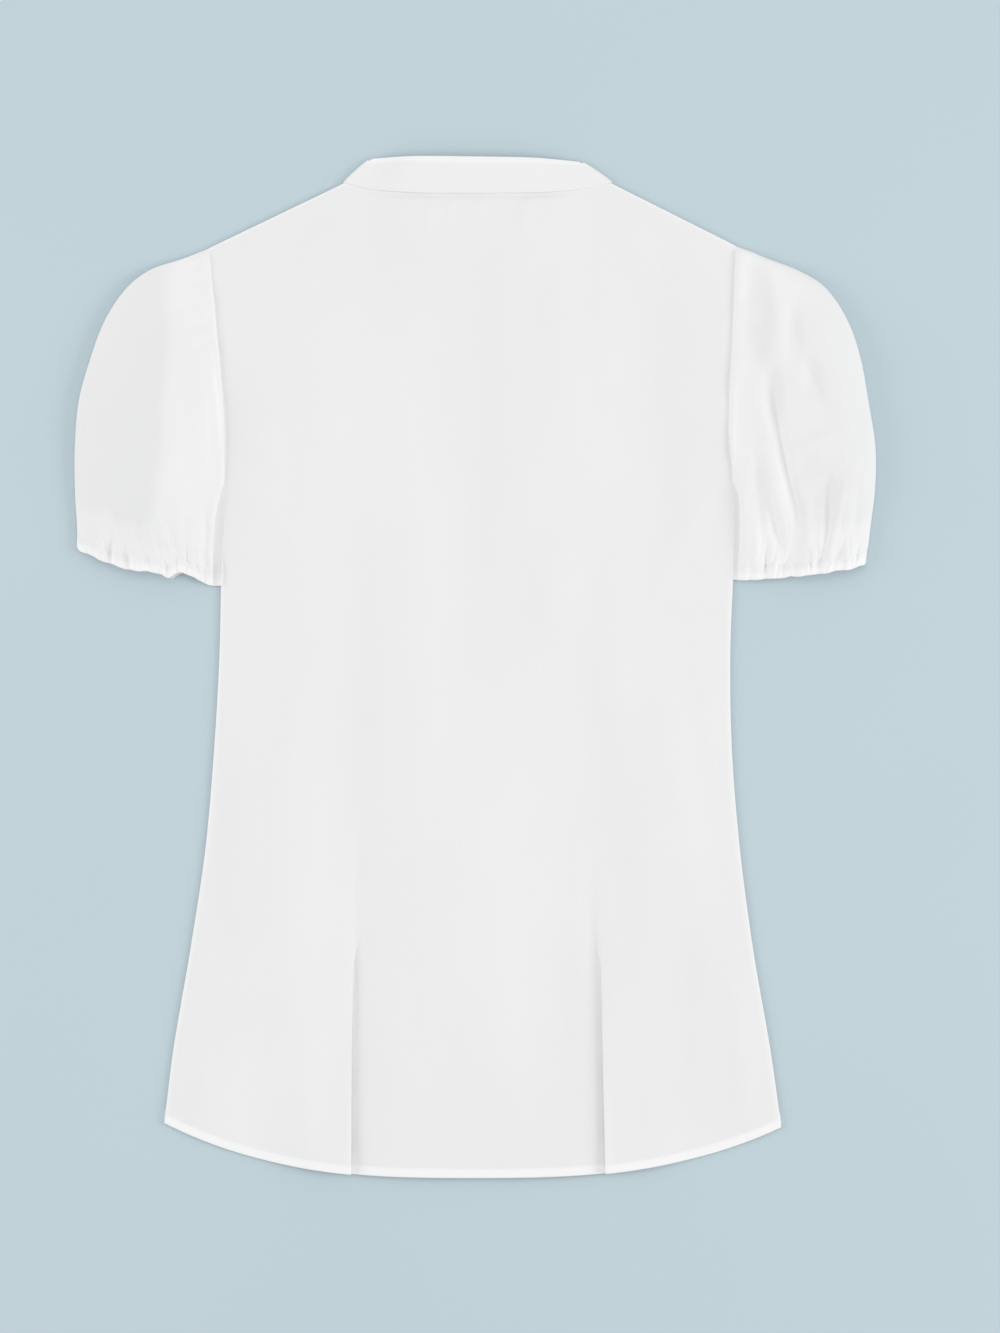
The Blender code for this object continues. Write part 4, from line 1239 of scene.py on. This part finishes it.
def add_sleeve(side_name, seed):
    """One sleeve as a piece, with its stitching and its cut."""
    side = SIDES[side_name]
    tube = sleeve_tube(side_name)
    normals = grid_normals(tube.grid, wrap=True) * (1 if side < 0 else -1)
    grid = tube.grid + normals * sleeve_relief(side_name, tube, seed)[..., None]
    height = np.maximum(grid[..., 2], SLEEVE_FLOOR)
    sewn = near(tube.from_armhole, SEWN_FLAT) * ease(tube.off_fold / 1.5)
    level = mix(SLEEVE_FLOOR, BACK_LEVEL - ARMHOLE_DROP, tube.on_top)
    grid[..., 2] = mix(height, np.minimum(height, level), sewn)
    white_share = sleeve_whiteness(side_name, tube, seed)
    casing_inside = (CASING_THICKNESS - CLOTH) * in_casing(tube.from_hem)
    inside = CLOTH / 2 + casing_inside * ease((tube.off_fold - 1.5) / 3)
    from_hem = tube.from_hem
    if side > 0:
        grid, inside, white_share, from_hem = (part[:, ::-1] for part in (grid, inside, white_share, from_hem))
    name = f"blouse_sleeve_{side_name}"
    piece, face, face_normals = add_cloth(name, grid, CLOTH / 2, inside, white_share, wrap=True)
    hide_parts(f"sleeve_{side_name}")

    rows = np.argmin(np.abs(from_hem - CASING), axis=0)
    rows = np.append(rows, rows[0])
    columns = np.append(np.arange(grid.shape[1]), 0)
    stitches = stitch_line(face[rows, columns], face_normals[rows, columns])
    stitching = add_stitches(f"sleeve_{side_name}_stitching", stitches)


add_sleeve("left", 2.0)
add_sleeve("right", 61.0)

# ---------------------------------------------------------------------------------------------------------
# The collar. A band of two layers of poplin with a crisp interlining, which grips the raw edge of the neck
# between them. It is stitched close to both edges, folded flat at each side, and open at the centre front.

BAND_THICKNESS = 1.3
BAND_OVERLAP = 2.2
BAND_SEAM_GAP = 0.3
BAND_CORNERS = {"left": (-79.8, 386.2), "right": (80.8, 383.9)}
BAND_FOLD_REACH = 1.4
BAND_FOLD_BOW = 0.6
BAND_BOW_REACH = 20.0
BAND_FOLD_SPACING = (0.5, 1.2, 2.1, 3.2, 4.6)
BAND_CORNER_RADIUS = 2.4
BAND_TOP_BOW = 2.2
BAND_BOW_POWER = 4
BAND_FRONT_HEIGHT = 26.0
BAND_LIFT = 1.0
BAND_FOLD_RISE = 0.4
BAND_RISE_REACH = 12.0
BAND_CORNER_INSET = 1.35
BAND_END_GAP = 0.5
BAND_STITCH_INSET = 1.7
BAND_STITCH_DEPTH = 0.12
BAND_STITCH_WIDTH = 0.8
BAND_SEAM_THINNER = 0.16
BAND_WHITER = {"band": 0.35, "edge": 0.92}
BAND_EDGE_WIDTH = 3.6
BAND_EDGE_FADES = 1.2
BAND_PITCH = 2.0
SLOPE_STEP = 0.1
FOLD_STEPS = 12
NEAR_BAND_EDGE = (0.0, 0.012, 0.035)
BAND_WIDTH_SHARES = spaced(0.0, 1.0, 0.06, NEAR_BAND_EDGE, NEAR_BAND_EDGE)


def band_seam_y(x):
    """The lower edge of the band's back half, just over the edge of the neck."""
    return back_top_y(x) + BAND_SEAM_GAP


def band_fold(side_name):
    """The two ends of the line that the band folds on: at the neck seam, and at the upper corner."""
    side = SIDES[side_name]
    seam_x = neck_x(side) + side * BAND_FOLD_REACH
    seam = np.array([seam_x, float(band_seam_y(np.array(seam_x)))])
    inwards = unit(np.array([-side, -1.0])) * BAND_CORNER_INSET
    return seam, np.array(BAND_CORNERS[side_name]) + inwards


def band_section(seam, top, low_level, high_level, to_fold):
    """Points across the band from below its seam to its top edge, rounded off towards the fold."""
    way = unit(top - seam)
    start = seam - way * BAND_OVERLAP
    end = top - way * BAND_CORNER_RADIUS * (1 - rounded(to_fold, BAND_CORNER_RADIUS))
    shares = BAND_WIDTH_SHARES[:, None]
    plan = mix(start, end, shares)
    outwards = np.array([way[1], -way[0]]) * (1 if seam[0] > 0 else -1)
    bow = 4 * shares * (1 - shares) * near(to_fold, BAND_BOW_REACH)
    plan = plan + outwards * bow * BAND_FOLD_BOW
    return np.concatenate([plan, mix(low_level, high_level, shares)], axis=1)


def band_front(side_name):
    """The half of the band on one front, from its end at the centre out to the fold line."""
    side = SIDES[side_name]
    seam_end, corner_end = band_fold(side_name)
    fold = corner_end - seam_end
    sections = []
    reach = abs(seam_end[0])
    for out in spaced(BAND_END_GAP, reach, BAND_PITCH, (0.0, 0.4, 1.2), (0.0, *BAND_FOLD_SPACING))[:-1]:
        x = side * out
        share = out / reach
        slope = front_top_y(np.array([x - SLOPE_STEP, x + SLOPE_STEP]))
        inwards = unit(np.array([(slope[0] - slope[1]) / (2 * SLOPE_STEP), 1.0]))
        rib = unit(mix(inwards, unit(fold), ease(share)))
        seam = np.array([x, float(front_top_y(np.array(x)))]) + inwards * BAND_SEAM_GAP
        top = seam + rib * mix(BAND_FRONT_HEIGHT, np.linalg.norm(fold), share)
        level = front_level(out, side) + BAND_THICKNESS / 2
        sections.append(band_section(seam, top, level, level, reach - out))
    return sections


def band_turn(side_name):
    """The band turning over on its fold line, from the front's layer up to the back's."""
    side = SIDES[side_name]
    seam_end, corner_end = band_fold(side_name)
    fold = unit(corner_end - seam_end)
    outwards = side * np.array([fold[1], -fold[0]])
    low = BAND_THICKNESS / 2
    radius = (BACK_LEVEL + BAND_FOLD_RISE - low) / 2
    sections = []
    for turn in np.linspace(0, math.pi, FOLD_STEPS + 1):
        bulge = outwards * radius * math.sin(turn)
        level = low + radius * (1 - math.cos(turn))
        sections.append(band_section(seam_end + bulge, corner_end + bulge, level, level, 0.0))
    return sections


def band_back():
    """The half of the band that lies along the back neck, between the two folds."""
    left_seam, left_corner = band_fold("left")
    right_seam, right_corner = band_fold("right")
    sections = []
    near_fold = (0.0, *BAND_FOLD_SPACING)
    for seam_x in spaced(left_seam[0], right_seam[0], BAND_PITCH, near_fold, near_fold)[1:-1]:
        share = (seam_x - left_seam[0]) / (right_seam[0] - left_seam[0])
        seam = np.array([seam_x, float(band_seam_y(np.array(seam_x)))])
        arch = 1 - (2 * share - 1) ** BAND_BOW_POWER
        top = mix(left_corner, right_corner, share) + np.array([0, BAND_TOP_BOW * arch])
        level = float(back_level(seam_x, seam[1]))
        to_fold = min(seam_x - left_seam[0], right_seam[0] - seam_x)
        level += BAND_FOLD_RISE * near(to_fold, BAND_RISE_REACH)
        sections.append(band_section(seam, top, level, level + BAND_LIFT * arch, to_fold))
    return sections


left_sections = band_front("left") + band_turn("left")
right_sections = band_front("right") + band_turn("right")
band_grid = np.stack(left_sections + band_back() + right_sections[::-1], axis=1)
width_share = BAND_WIDTH_SHARES[:, None]
band_width = np.linalg.norm(band_grid[-1] - band_grid[0], axis=-1)[None, :]
from_top = (1 - width_share) * band_width
from_seam = width_share * band_width
at_edge = near(from_top - BAND_EDGE_WIDTH, BAND_EDGE_FADES)
band_doubled = mix(BAND_WHITER["band"], BAND_WHITER["edge"], at_edge)
thin_edge = BAND_SEAM_THINNER * near(from_seam, BAND_EDGE_FADES)
pressed = BAND_STITCH_DEPTH * bell(from_top - BAND_STITCH_INSET, BAND_STITCH_WIDTH)
pressed = pressed + BAND_STITCH_DEPTH * bell(from_seam - BAND_STITCH_INSET, BAND_STITCH_WIDTH)
band_out = BAND_THICKNESS / 2 - thin_edge - pressed
band, band_face, band_normals = add_cloth("blouse_collar", band_grid, band_out, band_out, band_doubled)
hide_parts("collar")


def band_row(from_seam):
    """A line of points on the band's outer face at a distance from its seam, and the normals there."""
    place = np.broadcast_to(from_seam, band_width[0].shape) / band_width[0]
    line = np.array([
        [np.interp(place[k], BAND_WIDTH_SHARES, band_face[:, k, axis]) for axis in range(3)]
        for k in range(band_face.shape[1])
    ])
    return line, band_normals[len(BAND_WIDTH_SHARES) // 2]


band_stitches = stitch_line(*band_row(band_width[0] - BAND_STITCH_INSET))
band_stitches += stitch_line(*band_row(BAND_STITCH_INSET))
band_stitching = add_stitches("collar_stitching", band_stitches)

# ---------------------------------------------------------------------------------------------------------
# Buttonholes and buttons. Seven upright buttonholes are worked in the right front's stand. The turned
# buttons of pearly resin have a dished face and four holes, and are sewn to the left front's stand.

BUTTON_COUNT = 7
BUTTON_FIRST_Y = 276.0
BUTTON_STEP = 86.0
BUTTON_RADIUS = 5.5
BUTTON_HEIGHT = 2.0
DISH_RADIUS = 3.7
DISH_DEPTH = 0.65
DISH_SLOPE = 0.7
BUTTON_ROUNDING = 0.42
SHARP_EDGE = math.radians(40)
HOLE_RADIUS = 0.6
HOLE_OFFSET = 1.15
BUTTONHOLE_LENGTH = 13.0
BUTTONHOLE_STEP = 0.55
BAR_OFFSET = 0.85
BAR_LENGTH = 1.35
END_BARS = (-0.9, -0.3, 0.3, 0.9)
END_BAR_LENGTH = 1.5
END_BAR_GAP = 0.4
THREAD_THICKNESS = 0.55
THREAD_SPACING = 0.22
SHANK_HEIGHT = 2.2
SHANK_LENGTH = 4.2


def pearly_resin(name):
    """Cream-white cast resin with a soft swirl of pearl through it and a polished skin."""
    material = new_material(name)
    swirl = add_clouds(material, 260.0, 3.0, 2.2)
    tint = two_tones(material, swirl, (0.78, 0.765, 0.73), (0.90, 0.895, 0.875))
    set_finish(material, tint, Coat_Weight=0.4, Coat_Roughness=0.12)
    gloss = add_node(material, "ShaderNodeMapRange", [("To Min", 0.22), ("To Max", 0.38)])
    join(material, swirl, gloss.inputs["Value"])
    join(material, gloss.outputs["Result"], shader_of(material).inputs["Roughness"])
    return material


def select_faces(mesh, facing):
    """Selects just the faces that face up (1) or down (-1), for the next edit operator."""
    bpy.ops.object.mode_set(mode="OBJECT")
    for part in (mesh.vertices, mesh.edges, mesh.polygons):
        part.foreach_set("select", [False] * len(part))
    for face in mesh.polygons:
        face.select = face.normal.z * facing > 0.9
    bpy.ops.object.mode_set(mode="EDIT")


def add_disc(radius, height, sides):
    """A plain disc round the middle of the button, as the active object."""
    bpy.ops.object.select_all(action="DESELECT")
    size = dict(radius=radius * MM, depth=height * MM, vertices=sides)
    bpy.ops.mesh.primitive_cylinder_add(**size, location=(0, 0, BUTTON_HEIGHT / 2 * MM), calc_uvs=False)
    bpy.ops.object.transform_apply(location=True, rotation=False, scale=False)
    return bpy.context.object


def cut_hole(button, x, y):
    """Drills one thread hole through the button at a place in plan, in millimetres."""
    drill = add_disc(HOLE_RADIUS, 3 * BUTTON_HEIGHT, 16)
    drill.data.transform(drill.matrix_world.Translation((x * MM, y * MM, 0)))
    drilled = button.modifiers.new("hole", "BOOLEAN")
    drilled.object = drill
    drilled.solver = "EXACT"
    bpy.ops.object.select_all(action="DESELECT")
    bpy.context.view_layer.objects.active = button
    button.select_set(True)
    bpy.ops.object.modifier_apply(modifier="hole")
    bpy.data.objects.remove(drill)


def turned_button():
    """The first button, face down: a disc with a rounded rim, a dished face and four holes."""
    button = add_disc(BUTTON_RADIUS, BUTTON_HEIGHT, 48)
    bpy.ops.object.mode_set(mode="EDIT")
    bpy.ops.mesh.select_mode(type="FACE")
    select_faces(button.data, -1)
    bpy.ops.mesh.inset(thickness=(BUTTON_RADIUS - DISH_RADIUS - DISH_SLOPE / 2) * MM)
    bpy.ops.mesh.inset(thickness=DISH_SLOPE * MM, depth=-DISH_DEPTH * MM)
    select_faces(button.data, 1)
    bpy.ops.mesh.inset(thickness=1.2 * MM)
    bpy.ops.object.mode_set(mode="OBJECT")
    rounding = button.modifiers.new("rounding", "BEVEL")
    rounding.width = BUTTON_ROUNDING * MM
    rounding.segments = 4
    rounding.limit_method = "ANGLE"
    rounding.angle_limit = SHARP_EDGE
    bpy.ops.object.modifier_apply(modifier="rounding")
    for turn in range(4):
        angle = math.pi / 4 + turn * math.pi / 2
        reach = HOLE_OFFSET * math.sqrt(2)
        cut_hole(button, reach * math.cos(angle), reach * math.sin(angle))
    bpy.ops.object.shade_smooth_by_angle(angle=SHARP_EDGE)
    return button


ACROSS, ALONG, UP = np.eye(3)


def sewn_through(y):
    """Two parallel bars of thread in the button's face, and the shank that holds it to the stand."""
    stitches = []
    for column in (-HOLE_OFFSET, HOLE_OFFSET):
        for strand in (-THREAD_SPACING, THREAD_SPACING):
            middle = np.array([column + strand, y, DISH_DEPTH - 0.05])
            stitches.append(Stitch(middle, ALONG, -UP, 2 * HOLE_OFFSET + 0.9, THREAD_THICKNESS))
        for row in (-HOLE_OFFSET, HOLE_OFFSET):
            middle = np.array([column, y + row, SHANK_HEIGHT])
            stitches.append(Stitch(middle, UP, ACROSS, SHANK_LENGTH, THREAD_THICKNESS * 1.6))
    return stitches


def buttonhole(y):
    """Two close rows of satin stitches with a bar at each end, on the outer face of the right front."""
    stitches = []
    half = BUTTONHOLE_LENGTH / 2
    level = STAND_LEVEL[1]
    for step in np.arange(-half, half + 0.01, BUTTONHOLE_STEP):
        for offset in (-BAR_OFFSET, BAR_OFFSET):
            middle = np.array([offset, y + step, level])
            stitches.append(Stitch(middle, ACROSS, -UP, BAR_LENGTH, THREAD_THICKNESS))
    for end in (-half - END_BAR_GAP, half + END_BAR_GAP):
        for offset in END_BARS:
            middle = np.array([offset, y + end, level])
            stitches.append(Stitch(middle, ALONG, -UP, END_BAR_LENGTH, THREAD_THICKNESS))
    return stitches


first_button = turned_button()
buttonhole_stitches, button_threads = [], []
for number in range(1, BUTTON_COUNT + 1):
    button_y = BUTTON_FIRST_Y - BUTTON_STEP * (number - 1)
    mesh = first_button.data.copy()
    mesh.transform(first_button.matrix_world.Translation((0, button_y * MM, 0)))
    mesh.materials.clear()
    mesh.materials.append(pearly_resin(f"pearly_resin_{number}"))
    button = bpy.data.objects.new(f"resin_button_{number}", mesh)
    bpy.context.scene.collection.objects.link(button)
    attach(button, "root")
    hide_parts(f"button_{number}")
    button_threads += sewn_through(button_y)
    buttonhole_stitches += buttonhole(button_y)
bpy.data.objects.remove(first_button)
add_stitches("button_threads", button_threads)
add_stitches("buttonhole_stitching", buttonhole_stitches)
